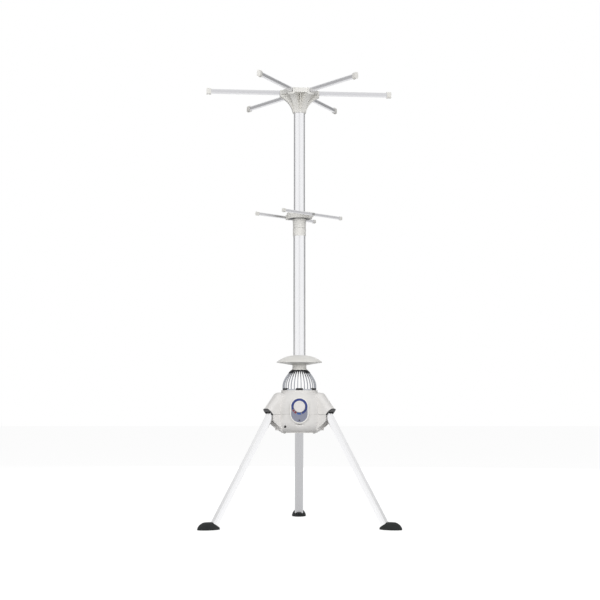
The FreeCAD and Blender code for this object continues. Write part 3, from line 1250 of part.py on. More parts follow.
def fan_parts():
    """The motor on its bracket, the fan on the motor's shaft and the heater above it."""
    floor = "casing_foot + casing_wall"
    deck = "motor_foot - bracket_thickness"
    bracket = new_body("motor_bracket")
    revolve(bracket, box_corners("0", "motor_radius + bracket_thickness", deck, "motor_foot"))
    for low, start in ((deck, "0"), (floor, "bracket_reach - bracket_foot")):
        sketch = new_sketch(bracket, "XZ_Plane", turn=bearing(size("bracket_first_angle")))
        add_outline(sketch, box_corners(start, "bracket_reach", low, "motor_foot"))
        repeat(bracket, pad(bracket, sketch, "bracket_arm_width", both=True), LEG_COUNT)
    motor = new_body("motor")
    revolve(motor, (
        ("0", "motor_foot"), ("motor_radius", "motor_foot"), ("motor_radius", "motor_foot + motor_height"),
        ("motor_shaft_radius + pin_gap", "motor_foot + motor_height"),
        ("motor_shaft_radius + pin_gap", "motor_foot + motor_height / 3"),
        ("0", "motor_foot + motor_height / 3")))
    fan = new_body("fan")
    start = "motor_foot + motor_height / 3 + running_gap"
    revolve(fan, (
        ("0", start), ("motor_shaft_radius", start), ("motor_shaft_radius", "fan_foot"),
        ("fan_hub_radius", "fan_foot"), ("fan_hub_radius", "fan_foot + fan_height"),
        ("0", "fan_foot + fan_height")))
    blade = new_sketch(fan, "YZ_Plane", "fan_blade_root")
    lean = "fan_blade_height / tan(fan_blade_angle) / 2"
    thick = "fan_blade_thickness"
    low = "fan_foot + (fan_height - fan_blade_height) / 2"
    high = low + " + fan_blade_height"
    add_outline(blade, (
        ("-%s - %s" % (lean, thick), low), ("-%s + %s" % (lean, thick), low),
        ("%s + %s" % (lean, thick), high), ("%s - %s" % (lean, thick), high)))
    repeat(fan, pad(fan, blade, "fan_radius - fan_blade_root"), "fan_blade_count")
    frame = new_body("heater_frame")
    top = "casing_neck_base - casing_wall"
    low = top + " - heater_height"
    revolve(frame, (
        ("heater_radius - heater_wall", low), ("heater_radius", low),
        ("heater_radius", top + " - heater_wall"),
        ("heater_radius + heater_flange", top + " - heater_wall"), ("heater_radius + heater_flange", top),
        ("heater_radius - heater_wall", top)))
    element = new_body("heater_element")
    high = low + " + heater_bar_height"
    revolve(element, box_corners("0", "heater_core_radius", low, high))
    inner = "heater_radius - heater_wall"
    revolve(element, box_corners(inner + " - heater_wall", inner, low, high))
    bars = new_sketch(element, "XZ_Plane")
    add_outline(bars, box_corners("0", inner + " - heater_wall / 2", low, high))
    repeat(element, pad(element, bars, "heater_bar_width", both=True), "heater_bar_count")
    cutout = new_body("thermal_cutout")
    sketch = new_sketch(cutout, "XZ_Plane")
    add_outline(sketch, box_corners(inner, "heater_radius + cutout_width", low, low + " + cutout_height"))
    pad(cutout, sketch, "cutout_length", both=True)
    hollow = new_sketch(cutout, "XY_Plane", low + " - cut_overrun")
    add_circle(hollow, "0", "0", "heater_radius")
    pocket(cutout, hollow, "cutout_height + 2 * cut_overrun", back=True)


def intake_parts():
    """The black intake grille with its screws, the dust filter and the cord inlet."""
    grille = new_body("intake_grille")
    low = "casing_foot - grille_thickness"
    disc = new_sketch(grille, "XY_Plane", low)
    add_circle(disc, "0", "0", "grille_radius")
    pad(grille, disc, "grille_thickness")
    pitch = "(filter_radius - grille_spoke_width) / grille_ring_count"
    for index in range(int(size("grille_ring_count"))):
        inner = "grille_spoke_width + %d * %s" % (index, pitch)
        outer = "%s + %s - grille_ring_width" % (inner, pitch)
        sketch = new_sketch(grille, "XZ_Plane")
        add_outline(sketch, box_corners(inner, outer, low + " - cut_overrun", "casing_foot + cut_overrun"))
        groove = grille.newObject("PartDesign::Groove", "gap")
        groove.Profile = sketch
        groove.ReferenceAxis = (sketch, ["V_Axis"])
        groove.Angle = FULL_TURN
    spokes = new_sketch(grille, "XZ_Plane")
    add_outline(spokes, box_corners("0", "filter_radius", low, "casing_foot"))
    repeat(grille, pad(grille, spokes, "grille_spoke_width", both=True), GRILLE_SPOKE_COUNT)
    holes = new_sketch(grille, "XY_Plane", low + " - cut_overrun")
    add_circle(holes, SCREW_ACROSS, SCREW_UP, "screw_radius")
    repeat(grille, pocket(grille, holes, "grille_thickness + 2 * cut_overrun", back=True), LEG_COUNT)
    screws = []
    for angle in ring_of(LEG_COUNT):
        screw = new_blank("screw")
        revolve(screw, (
            ("0", low + " - screw_head_height"), ("screw_head_radius", low + " - screw_head_height"),
            ("screw_head_radius", low), ("screw_radius", low), ("screw_radius", "casing_foot + screw_length"),
            ("0", "casing_foot + screw_length")))
        turn = bearing(size("screw_first_angle")) + angle
        screw.Placement = turned_about_z(turn, (size("screw_circle_radius"), 0, 0))
        screws.append(screw)
    group = doc.addObject("Part::Compound", "grille_screws")
    group.Links = screws
    keep(group, "grille_screws")
    tube("intake_filter", "filter_radius", "0", "casing_foot", "casing_foot + filter_thickness")
    inlet = new_body("cord_inlet")
    sketch = new_sketch(inlet, "XZ_Plane")
    wall_out = "casing_radius"
    add_outline(sketch, (
        ("casing_radius - 2 * casing_wall", "inlet_bore_radius"),
        (wall_out + " + inlet_length", "inlet_bore_radius"),
        (wall_out + " + inlet_length", "inlet_neck_radius"),
        (wall_out + " + inlet_flange", "inlet_neck_radius"),
        (wall_out + " + inlet_flange", "inlet_radius"), (wall_out, "inlet_radius"),
        (wall_out, "inlet_neck_radius"),
        ("casing_radius - 2 * casing_wall", "inlet_neck_radius")))
    turn = inlet.newObject("PartDesign::Revolution", "turned")
    turn.Profile = sketch
    turn.ReferenceAxis = (sketch, ["H_Axis"])
    turn.Angle = FULL_TURN
    inlet.Placement = turned_about_z(bearing(size("inlet_bearing_angle")), (0, 0, size("inlet_height")))


upper_casing()
lower_casing()
for number in range(LEG_COUNT):
    leg_socket(number)
    leg(number)
    foot(number)
leg_pins()
mast_parts()
top_hub()
hub_cover()
for number in range(ARM_COUNT):
    arm(number)
    arm_cap(number)
arm_pins()
rail_carrier()
carrier_washer()
for number in range(2):
    rail(number)
    rail_caps(number)
rail_pivots()
outlet_cage()
cage_ring()
mast_socket()
air_deflector()
control_panel()
fan_parts()
intake_parts()

doc.recompute()
for item in doc.Objects:
    if "Invalid" in item.State or "Error" in item.State:
        raise RuntimeError("%s did not build: %s" % (item.Name, item.State))
for node in NODES:
    if node.Shape.isNull() or not node.Shape.isValid():
        raise RuntimeError(node.Label + " has no valid shape")
os.makedirs("parts", exist_ok=True)
for node in NODES:
    node.Shape.exportStep("parts/%s.step" % node.Label)
    print("%-18s %2d solid(s) %9.1f mm3" % (node.Label, len(node.Shape.Solids), node.Shape.Volume))
print("%d nodes" % len(NODES))
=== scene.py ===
import json
import math

import bmesh
import bpy
from mathutils import Matrix, Vector


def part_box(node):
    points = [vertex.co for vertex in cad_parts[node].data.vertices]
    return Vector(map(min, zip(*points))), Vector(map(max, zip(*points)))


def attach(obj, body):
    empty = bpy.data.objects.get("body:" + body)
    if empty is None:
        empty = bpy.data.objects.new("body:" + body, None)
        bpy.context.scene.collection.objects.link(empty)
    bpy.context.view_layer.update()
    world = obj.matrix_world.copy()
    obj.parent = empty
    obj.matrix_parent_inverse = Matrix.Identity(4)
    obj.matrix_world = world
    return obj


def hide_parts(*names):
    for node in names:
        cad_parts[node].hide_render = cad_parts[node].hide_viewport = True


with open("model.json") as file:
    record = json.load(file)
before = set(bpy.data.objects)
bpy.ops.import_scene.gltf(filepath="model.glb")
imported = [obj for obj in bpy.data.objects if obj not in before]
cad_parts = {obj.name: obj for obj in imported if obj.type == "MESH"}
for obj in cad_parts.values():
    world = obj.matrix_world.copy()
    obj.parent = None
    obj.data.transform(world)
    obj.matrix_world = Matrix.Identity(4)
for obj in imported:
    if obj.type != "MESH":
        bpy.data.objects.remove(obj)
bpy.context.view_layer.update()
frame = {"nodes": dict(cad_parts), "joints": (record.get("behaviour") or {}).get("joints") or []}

bl_info = {
    "name": "Portable clothes dryer",
    "version": (1, 0, 0),
    "blender": (4, 5, 0),
    "location": "View3D > Sidebar > Dryer",
    "description": "Dresses a tripod clothes dryer with its finishes and small trim",
    "category": "Object",
}

MM = 0.001
DEGREE = math.pi / 180
FULL_TURN = 2 * math.pi
QUARTER_TURN = FULL_TURN / 4
ARM_COUNT = 6
RAIL_COUNT = 2
LEG_COUNT = 3


# What is read from the frame.

def extent(node):
    """The size of a node along X, Y and Z."""
    low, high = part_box(node)
    return [b - a for a, b in zip(low, high)]


def middle(node):
    """The centre of a node's box."""
    low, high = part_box(node)
    return Vector([(a + b) / 2 for a, b in zip(low, high)])


def foot_of(node):
    """The height of a node's lowest point."""
    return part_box(node)[0][2]


def top_of(node):
    """The height of a node's highest point."""
    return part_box(node)[1][2]


def joint_named(name):
    """A joint of the frame by its name."""
    return next(joint for joint in frame["joints"] if joint["name"] == name)


def heading(joint_name):
    """The turn about the mast of the piece that a joint carries."""
    place = joint_named(joint_name)["pos_m"]
    return math.atan2(place[1], place[0])


def numbered(name, count):
    """The names of a row of like nodes."""
    return ["%s_%d" % (name, index + 1) for index in range(count)]


# Finishes.

def linear(code):
    """A colour written as sRGB hex, as linear RGBA."""
    values = [int(code[i:i + 2], 16) / 255 for i in (1, 3, 5)]
    return tuple(v / 12.92 if v <= 0.04045 else ((v + 0.055) / 1.055) ** 2.4 for v in values) + (1.0,)


def add_node(tree, kind, settings=None, links=None):
    """Adds a node, sets its properties and sockets, and links the outputs that feed it."""
    node = tree.nodes.new(kind)
    for name, value in (settings or {}).items():
        if isinstance(name, str) and hasattr(node, name):
            setattr(node, name, value)
        else:
            node.inputs[name].default_value = value
    for name, source in (links or {}).items():
        tree.links.new(source, node.inputs[name])
    return node


def start_material(name, code, settings):
    """A material with one Principled shader, its colour and its plain settings."""
    material = bpy.data.materials.new(name)
    material.use_nodes = True
    material.diffuse_color = linear(code)
    tree = material.node_tree
    shader = tree.nodes["Principled BSDF"]
    shader.inputs["Base Color"].default_value = linear(code)
    for socket, value in settings.items():
        shader.inputs[socket].default_value = value
    return material, tree, shader


def vary_tone(tree, shader, coordinates, code, dark_code, patch, contrast):
    """Slow drifts of tone between two colours, in patches of the given size."""
    cloud = add_node(tree, "ShaderNodeTexNoise", {"Scale": 1 / patch, "Detail": 3.0}, {"Vector": coordinates})
    spread = add_node(tree, "ShaderNodeMapRange", {
        "From Min": 0.5 - contrast, "From Max": 0.5 + contrast}, {"Value": cloud.outputs["Fac"]})
    tone = add_node(tree, "ShaderNodeMix", {"data_type": "RGBA", 6: linear(dark_code), 7: linear(code)},
                    {0: spread.outputs["Result"]})
    tree.links.new(tone.outputs[2], shader.inputs["Base Color"])


def roughen(tree, shader, height, depth, low, high, edge):
    """Bumps of a depth from a height pattern, roughness from low to high, and edges softened by a radius."""
    rounded = add_node(tree, "ShaderNodeBevel", {"samples": 4, "Radius": edge})
    bump = add_node(tree, "ShaderNodeBump", {"Strength": 1.0, "Distance": depth},
                    {"Height": height, "Normal": rounded.outputs["Normal"]})
    tree.links.new(bump.outputs["Normal"], shader.inputs["Normal"])
    sheen = add_node(tree, "ShaderNodeMapRange", {"To Min": low, "To Max": high}, {"Value": height})
    tree.links.new(sheen.outputs["Result"], shader.inputs["Roughness"])


def moulded_abs(name, code, dark_code):
    """Injection-moulded ABS: an even warm plastic, satin from the fine spark-eroded grain of its mould."""
    # The real grain is about 0.1 mm; it is drawn at 0.7 mm, as coarse as it needs to show.
    grain_width = 0.7 * MM
    material, tree, shader = start_material(name, code, {"IOR": 1.54, "Roughness": 0.42})
    place = add_node(tree, "ShaderNodeTexCoord").outputs["Object"]
    vary_tone(tree, shader, place, code, dark_code, patch=45 * MM, contrast=0.3)
    grain = add_node(tree, "ShaderNodeTexNoise", {"Scale": 1 / grain_width, "Detail": 2.0}, {"Vector": place})
    roughen(tree, shader, grain.outputs["Fac"], depth=0.012 * MM, low=0.34, high=0.5, edge=0.5 * MM)
    return material


def moulded_nylon(name, code, dark_code):
    """Black glass-filled nylon, moulded: a little rougher than ABS, clouded by the fibres under its skin."""
    # The fibres are about 0.3 mm long; their grain is drawn at 0.5 mm, so that it shows.
    grain_width = 0.5 * MM
    material, tree, shader = start_material(name, code, {"IOR": 1.53, "Roughness": 0.5})
    place = add_node(tree, "ShaderNodeTexCoord").outputs["Object"]
    vary_tone(tree, shader, place, code, dark_code, patch=12 * MM, contrast=0.25)
    grain = add_node(tree, "ShaderNodeTexNoise", {"Scale": 1 / grain_width, "Detail": 3.0}, {"Vector": place})
    roughen(tree, shader, grain.outputs["Fac"], depth=0.02 * MM, low=0.42, high=0.6, edge=0.4 * MM)
    return material


def vulcanised_rubber(name, code, dark_code):
    """Moulded and vulcanised rubber: matt, nearly black, greyed in patches by floor dust."""
    # The mould's grain is about 0.3 mm; it is drawn at 0.9 mm, so that it shows.
    grain_width = 0.9 * MM
    material, tree, shader = start_material(name, code, {"IOR": 1.52, "Roughness": 0.8})
    place = add_node(tree, "ShaderNodeTexCoord").outputs["Object"]
    vary_tone(tree, shader, place, code, dark_code, patch=18 * MM, contrast=0.2)
    grain = add_node(tree, "ShaderNodeTexNoise", {"Scale": 1 / grain_width, "Detail": 4.0}, {"Vector": place})
    roughen(tree, shader, grain.outputs["Fac"], depth=0.05 * MM, low=0.68, high=0.88, edge=0.6 * MM)
    return material


def extruded_aluminium(name, code, rough, turn=(0, 0, 0)):
    """Extruded and satin-anodised aluminium: bright, with faint die lines drawn along the tube."""
    # Die lines are 0.05 to 0.2 mm apart; they are drawn 0.6 mm apart, so that they show.
    line_pitch = 0.6 * MM
    stretch = (1.0, 1.0, 0.001)
    material, tree, shader = start_material(name, code, {"Metallic": 1.0, "Roughness": sum(rough) / 2})
    place = add_node(tree, "ShaderNodeTexCoord").outputs["Object"]
    along = add_node(tree, "ShaderNodeMapping", {"vector_type": "TEXTURE", "Rotation": turn},
                     {"Vector": place})
    drawn = add_node(tree, "ShaderNodeMapping", {"Scale": stretch}, {"Vector": along.outputs["Vector"]})
    lines = add_node(tree, "ShaderNodeTexNoise", {"Scale": 1 / line_pitch, "Detail": 2.0},
                     {"Vector": drawn.outputs["Vector"]})
    roughen(tree, shader, lines.outputs["Fac"], depth=0.002 * MM, low=rough[0], high=rough[1], edge=0.4 * MM)
    return material


def chromed_steel(name, code):
    """Steel rod with bright nickel-chrome plate: a near mirror with the faintest ripple."""
    ripple_length = 3 * MM
    material, tree, shader = start_material(name, code, {"Metallic": 1.0, "Roughness": 0.14})
    place = add_node(tree, "ShaderNodeTexCoord").outputs["Object"]
    ripple = add_node(tree, "ShaderNodeTexNoise", {"Scale": 1 / ripple_length, "Detail": 2.0},
                      {"Vector": place})
    roughen(tree, shader, ripple.outputs["Fac"], depth=0.01 * MM, low=0.11, high=0.19, edge=0.3 * MM)
    return material


def zinc_plated_steel(name, code, dark_code):
    """Zinc-plated steel, as on pins, screws and sheet: grey metal clouded by passivation."""
    spangle_width = 2 * MM
    material, tree, shader = start_material(name, code, {"Metallic": 1.0, "Roughness": 0.35})
    place = add_node(tree, "ShaderNodeTexCoord").outputs["Object"]
    vary_tone(tree, shader, place, code, dark_code, patch=6 * MM, contrast=0.25)
    cloud = add_node(tree, "ShaderNodeTexVoronoi", {"Scale": 1 / spangle_width}, {"Vector": place})
    roughen(tree, shader, cloud.outputs["Distance"], depth=0.01 * MM, low=0.28, high=0.46, edge=0.3 * MM)
    return material


def printed_polycarbonate(name, code, dark_code):
    """Polycarbonate label stock, back-printed: flat colour under a clear, faintly pebbled face."""
    # The pebbles are about 0.1 mm wide; they are drawn at 0.5 mm, so that they show.
    pebble_width = 0.5 * MM
    material, tree, shader = start_material(
        name, code, {"IOR": 1.58, "Roughness": 0.3, "Coat Weight": 0.4, "Coat Roughness": 0.12})
    place = add_node(tree, "ShaderNodeTexCoord").outputs["Object"]
    vary_tone(tree, shader, place, code, dark_code, patch=9 * MM, contrast=0.35)
    pebble = add_node(tree, "ShaderNodeTexNoise", {"Scale": 1 / pebble_width, "Detail": 1.0},
                      {"Vector": place})
    roughen(tree, shader, pebble.outputs["Fac"], depth=0.008 * MM, low=0.24, high=0.34, edge=0.2 * MM)
    return material


def felted_fibre(name, code, dark_code):
    """Non-woven filter mat: matt grey fibres pressed into a loose felt."""
    fibre_spacing = 0.8 * MM
    material, tree, shader = start_material(name, code, {"Roughness": 0.95, "Sheen Weight": 0.3})
    place = add_node(tree, "ShaderNodeTexCoord").outputs["Object"]
    vary_tone(tree, shader, place, code, dark_code, patch=5 * MM, contrast=0.2)
    fibre = add_node(tree, "ShaderNodeTexNoise", {
        "Scale": 1 / fibre_spacing, "Detail": 6.0, "Distortion": 3.0}, {"Vector": place})
    roughen(tree, shader, fibre.outputs["Fac"], depth=0.3 * MM, low=0.88, high=1.0, edge=0.3 * MM)
    return material


def paint(material, *nodes):
    """Gives CAD nodes a finish."""
    for node in nodes:
        data = frame["nodes"][node].data
        data.materials.clear()
        data.materials.append(material)


# Building pieces.

MERGE_DISTANCE = 0.001 * MM


def finish_piece(name, bm, body, material, bevel=0.0, smooth_angle=35 * DEGREE):
    """Makes a piece from a bmesh, rides it on a body and gives it its finish."""
    bmesh.ops.remove_doubles(bm, verts=bm.verts, dist=MERGE_DISTANCE)
    bmesh.ops.recalc_face_normals(bm, faces=bm.faces)
    if bevel:
        sharp = [edge for edge in bm.edges
                 if len(edge.link_faces) == 2 and edge.calc_face_angle() > smooth_angle]
        bmesh.ops.bevel(bm, geom=sharp, offset=bevel, segments=2, profile=0.5, affect="EDGES", material=-1,
                        clamp_overlap=True)
    mesh = bpy.data.meshes.new(name)
    bm.to_mesh(mesh)
    bm.free()
    piece = bpy.data.objects.new(name, mesh)
    bpy.context.scene.collection.objects.link(piece)
    for polygon in mesh.polygons:
        polygon.use_smooth = True
    mesh.set_sharp_from_angle(angle=smooth_angle)
    mesh.materials.append(material)
    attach(piece, body)
    return piece


def outline_face(bm, points):
    """One face through a few points."""
    return bm.faces.new([bm.verts.new(point) for point in points])


def thicken(bm, faces, along):
    """Pulls faces along a vector into a closed block."""
    grown = bmesh.ops.extrude_face_region(bm, geom=faces, use_keep_orig=True)
    moved = [item for item in grown["geom"] if isinstance(item, bmesh.types.BMVert)]
    bmesh.ops.translate(bm, verts=moved, vec=along)


def ring_round_mast(bm, count, first=0.0):
    """Turns what is in the bmesh to its first place and repeats it round the mast."""
    bmesh.ops.rotate(bm, verts=bm.verts, cent=(0, 0, 0), matrix=Matrix.Rotation(first, 3, "Z"))
    bmesh.ops.spin(bm, geom=bm.verts[:] + bm.edges[:] + bm.faces[:], cent=(0, 0, 0), axis=(0, 0, 1),
                   angle=FULL_TURN * (count - 1) / count, steps=count - 1, use_duplicate=True)


def turned_ring(bm, corners, steps=96):
    """A full ring round the mast from the corners of its section, given as radius and height."""
    section = outline_face(bm, [(radius, 0, height) for radius, height in corners])
    bmesh.ops.spin(bm, geom=list(section.edges) + list(section.verts), cent=(0, 0, 0), axis=(0, 0, 1),
                   angle=FULL_TURN, steps=steps, use_merge=True)
    bmesh.ops.delete(bm, geom=[section], context="FACES_ONLY")


def sweep_rod(bm, line, half_depth, half_width, sides=10):
    """A closed rod of oval section along a line in the XZ plane."""
    poses = []
    for index, point in enumerate(line):
        ahead = line[min(index + 1, len(line) - 1)] - line[max(index - 1, 0)]
        poses.append(Matrix.Translation(point) @ Matrix.Rotation(math.atan2(ahead.x, ahead.z), 4, "Y"))
    shape = Matrix.Diagonal((half_depth, half_width, 1.0, 1.0))
    circle = bmesh.ops.create_circle(bm, cap_ends=False, radius=1.0, segments=sides, matrix=poses[0] @ shape)
    ring = circle["verts"]
    edges = list({edge for vert in ring for edge in vert.link_edges})
    bmesh.ops.contextual_create(bm, geom=edges)
    for pose, next_pose in zip(poses, poses[1:]):
        grown = bmesh.ops.extrude_edge_only(bm, edges=edges)["geom"]
        ring = [item for item in grown if isinstance(item, bmesh.types.BMVert)]
        edges = [item for item in grown if isinstance(item, bmesh.types.BMEdge)
                 and all(vert in ring for vert in item.verts)]
        bmesh.ops.transform(bm, verts=ring, matrix=next_pose @ pose.inverted())
    bmesh.ops.contextual_create(bm, geom=edges)


# Settings that a user would change.

def colour_setting(label, meaning, code):
    """A colour written as sRGB hex."""
    return bpy.props.StringProperty(name=label, description=meaning, default=code)


class DryerColours(bpy.types.PropertyGroup):
    """The colours of the dryer's finishes, as sRGB hex."""
    trim_white: colour_setting("Trim white", "Hub, lock, carrier, deflector and caps", "#E6E5E1")
    trim_shade: colour_setting("Trim shade", "The darker drift of the trim's white", "#DEDCD7")
    casing_white: colour_setting("Casing white", "The heater's casing and its air inlet", "#E4E2E0")
    casing_shade: colour_setting("Casing shade", "The darker drift of the casing's white", "#DCDAD7")
    # The rim is a pale moulding; its white is set brighter than the casing's as a painted highlight on the
    # raised rim.
    rim_white: colour_setting("Rim white", "The raised rim of the control panel", "#F0EEEA")
    rim_shade: colour_setting("Rim shade", "The darker drift of the rim's white", "#EAE8E3")
    knob_white: colour_setting("Knob white", "The timer knob", "#E4E1E0")
    knob_shade: colour_setting("Knob shade", "The darker drift of the knob's white", "#DCD9D7")
    mast_metal: colour_setting("Mast metal", "Anodised tubes of the mast and the front legs", "#F4F4F5")
    # The back leg's metal is set darker than the mast's: painted shade for the shaded side that this leg
    # turns to the front.
    back_leg_shaded_metal: colour_setting("Back leg shaded metal", "The back leg, whose shaded side is in front", "#BFBFC1")
    arm_metal: colour_setting("Arm metal", "Anodised arms", "#DCDCDE")
    rail_metal: colour_setting("Rail metal", "Anodised short rails", "#DADADC")
    cage_chrome: colour_setting("Cage chrome", "Ribs round the air outlet", "#B9BBC0")
    # The washer under the rail carrier and the sleeves on the ribs' tops take this black as painted shade,
    # for the carrier's hollow underside and for the ribs under the cage ring.
    nylon_black: colour_setting("Black nylon", "Leg sockets, washer, cage ring, sleeves and clips", "#17171A")
    nylon_cloud: colour_setting("Nylon cloud", "The paler drift of the black nylon", "#232326")
    rubber_black: colour_setting("Black rubber", "Feet", "#141717")
    rubber_dust: colour_setting("Rubber dust", "The greyer drift of the rubber", "#1E2121")
    panel_grey: colour_setting("Panel grey", "The lower part of the control panel", "#85889A")
    panel_shade: colour_setting("Panel shade", "The darker drift of the panel's grey", "#7E8193")
    lens_black: colour_setting("Lens black", "The smoked lens of the pilot lamp", "#26262A")
    lens_shade: colour_setting("Lens shade", "The darker drift of the lens", "#1C1C20")
    print_navy: colour_setting("Navy print", "The band round the timer knob", "#0F2F80")
    navy_shade: colour_setting("Navy shade", "The darker drift of the navy print", "#0B2670")
    print_blue: colour_setting("Blue print", "The cool mark under the knob", "#1D55A8")
    blue_shade: colour_setting("Blue shade", "The darker drift of the blue print", "#184C9C")
    print_red: colour_setting("Red print", "The warm marks beside the knob", "#8A2030")
    red_shade: colour_setting("Red shade", "The darker drift of the red print", "#7C1A2A")
    zinc_grey: colour_setting("Zinc grey", "Pins and screws", "#B4B4B2")
    zinc_shade: colour_setting("Zinc shade", "The darker drift of the zinc", "#9C9C98")
    sheet_grey: colour_setting("Sheet grey", "Motor, bracket and heater frame", "#ABADAE")
    sheet_shade: colour_setting("Sheet shade", "The darker drift of the sheet steel", "#93979A")
    natural_white: colour_setting("Natural white", "The fan and the mast's bush", "#E6E4DA")
    natural_shade: colour_setting("Natural shade", "The darker drift of the natural white", "#DAD7CB")
    heater_metal: colour_setting("Heater metal", "The heater's core and bars", "#B9B9B9")
    filter_grey: colour_setting("Filter grey", "The filter mat", "#6A6B6E")
    filter_shade: colour_setting("Filter shade", "The darker drift of the filter", "#5A5B5E")
    component_black: colour_setting("Component black", "Timer switch and thermal cutout", "#2A2A2D")
    component_cloud: colour_setting("Component cloud", "The paler drift of those two", "#37373A")


class DryerTrim(bpy.types.PropertyGroup):
    """Sizes of the trim that is added to the frame."""
    rib_count: bpy.props.IntProperty(
        name="Cage ribs", description="Ribs round the air outlet", default=30, min=6)
    rib_width: bpy.props.FloatProperty(
        name="Rib width", description="Width of a cage rib", default=2.8 * MM, unit="LENGTH")
    # The dark sleeve on a rib's top is painted shade from the cage ring above.
    shade_sleeve_length: bpy.props.FloatProperty(
        name="Sleeve length", description="Length of the black sleeve on a rib's top", default=11 * MM,
        unit="LENGTH")
    shade_sleeve_wall: bpy.props.FloatProperty(
        name="Sleeve wall", description="Wall of that sleeve", default=0.5 * MM, unit="LENGTH")
    clip_count: bpy.props.IntProperty(
        name="Cage clips", description="Black clips at the foot of the cage", default=6, min=1)
    clip_width: bpy.props.FloatProperty(
        name="Clip width", description="Width of a clip", default=23 * MM, unit="LENGTH")
    clip_height: bpy.props.FloatProperty(
        name="Clip height", description="Height of a clip", default=7 * MM, unit="LENGTH")
    print_thickness: bpy.props.FloatProperty(
        name="Print thickness", description="Thickness of the printed film", default=0.15 * MM, unit="LENGTH")
    knob_clearance: bpy.props.FloatProperty(
        name="Knob clearance", description="Gap between the knob and the print round it", default=0.5 * MM,
        unit="LENGTH")


# The frame's own pieces.

# The back leg, whose tube gets the darker metal that paints its shade.
BACK_LEG = "leg_2"
# The least and most roughness of the tubes' anodising and of the heater's bare metal.
MAST_ROUGHNESS = (0.2, 0.32)
ARM_ROUGHNESS = (0.28, 0.4)
HEATER_ROUGHNESS = (0.35, 0.5)


class DRYER_OT_finishes(bpy.types.Operator):
    """Gives every piece of the frame its finish"""
    bl_idname = "dryer.finishes"
    bl_label = "Finishes"

    def execute(self, context):
        colours = context.scene.dryer_colours
        self.paint_plastics(colours)
        self.paint_tubes(colours)
        self.paint_panel(colours)
        self.paint_inside(colours)
        return {"FINISHED"}

    def paint_plastics(self, colours):
        """The white mouldings, the black ones and the rubber feet; the black washer under the rail carrier is
        painted shade.
        """
        trim_abs = moulded_abs("moulded ABS trim", colours.trim_white, colours.trim_shade)
        paint(trim_abs, "top_hub", "hub_cover", "rail_carrier", "lock_socket", "lock_ring", "mast_socket",
              "air_deflector", "deflector_plate", *numbered("rail_caps", RAIL_COUNT),
              *numbered("arm_cap", ARM_COUNT))
        casing_abs = moulded_abs("moulded ABS casing", colours.casing_white, colours.casing_shade)
        paint(casing_abs, "upper_casing", "lower_casing", "intake_grille")
        nylon = moulded_nylon("moulded black nylon", colours.nylon_black, colours.nylon_cloud)
        # The carrier washer sits in the rail carrier's hollow underside; its black is painted shade for that
        # hollow.
        paint(nylon, "carrier_washer", "cage_ring", "cord_inlet", *numbered("leg_socket", LEG_COUNT))
        rubber = vulcanised_rubber("vulcanised rubber", colours.rubber_black, colours.rubber_dust)
        paint(rubber, *numbered("foot", LEG_COUNT))

    def paint_tubes(self, colours):
        """The anodised tubes, each with its die lines turned to run along it."""
        mast = extruded_aluminium("anodised mast aluminium", colours.mast_metal, MAST_ROUGHNESS)
        paint(mast, "lower_mast", "upper_mast")
        for arm in numbered("arm", ARM_COUNT):
            turn = (0, QUARTER_TURN, heading(arm + "_fold"))
            self.paint_tube(arm, colours.arm_metal, ARM_ROUGHNESS, turn)
        for rail in numbered("rail", RAIL_COUNT):
            turn = (0, QUARTER_TURN, heading(rail + "_turn") + QUARTER_TURN)
            self.paint_tube(rail, colours.rail_metal, ARM_ROUGHNESS, turn)
        for leg in numbered("leg", LEG_COUNT):
            fold = leg + "_fold"
            splay = joint_named(fold)["range_deg"][1] * DEGREE
            # The back leg takes the darker metal as painted shade; the other legs take the mast's metal.
            metal = colours.back_leg_shaded_metal if leg == BACK_LEG else colours.mast_metal
            self.paint_tube(leg, metal, MAST_ROUGHNESS, (0, -splay, heading(fold)))

    def paint_tube(self, node, metal, rough, turn):
        """One tube in its own aluminium."""
        name = "anodised aluminium " + node.replace("_", " ")
        paint(extruded_aluminium(name, metal, rough, turn), node)

    def paint_panel(self, colours):
        """The control panel, its rim, its knob and its pilot lamp."""
        # The rim's brighter white is partly its own pale plastic and partly a painted highlight on the raised
        # rim.
        paint(moulded_abs("moulded ABS panel rim", colours.rim_white, colours.rim_shade), "panel_rim")
        paint(moulded_abs("moulded ABS knob", colours.knob_white, colours.knob_shade), "timer_knob")
        film = printed_polycarbonate("grey panel film", colours.panel_grey, colours.panel_shade)
        paint(film, "control_panel")
        lens = printed_polycarbonate("smoked indicator lens", colours.lens_black, colours.lens_shade)
        paint(lens, "indicator_lens")

    def paint_inside(self, colours):
        """The fasteners, and what the casing and the mast hold."""
        zinc = zinc_plated_steel("zinc-plated steel", colours.zinc_grey, colours.zinc_shade)
        paint(zinc, "leg_pins", "arm_pins", "rail_pivots", "grille_screws")
        sheet = zinc_plated_steel("galvanised sheet steel", colours.sheet_grey, colours.sheet_shade)
        paint(sheet, "motor", "motor_bracket", "heater_frame")
        natural = moulded_abs("natural moulded ABS", colours.natural_white, colours.natural_shade)
        paint(natural, "mast_bush", "fan")
        heater = extruded_aluminium("plain heater aluminium", colours.heater_metal, HEATER_ROUGHNESS)
        paint(heater, "heater_element")
        felt = felted_fibre("felted filter fibre", colours.filter_grey, colours.filter_shade)
        paint(felt, "intake_filter")
        component = moulded_nylon("moulded component nylon", colours.component_black, colours.component_cloud)
        paint(component, "thermal_cutout", "timer_switch")


# The cage over the air outlet.

# A rib's half depth, how far up the cage it bends, how much of its lower part is straight, and its steps.
RIB_HALF_DEPTH = 1.7 * MM
RIB_BEND_SHARE = 0.56
RIB_EASE_SHARE = 0.35
RIB_STEPS = 9
ROD_SMOOTH_ANGLE = 50 * DEGREE
# The width and height of the ring that joins the ribs' feet.
FOOT_RING = 4 * MM
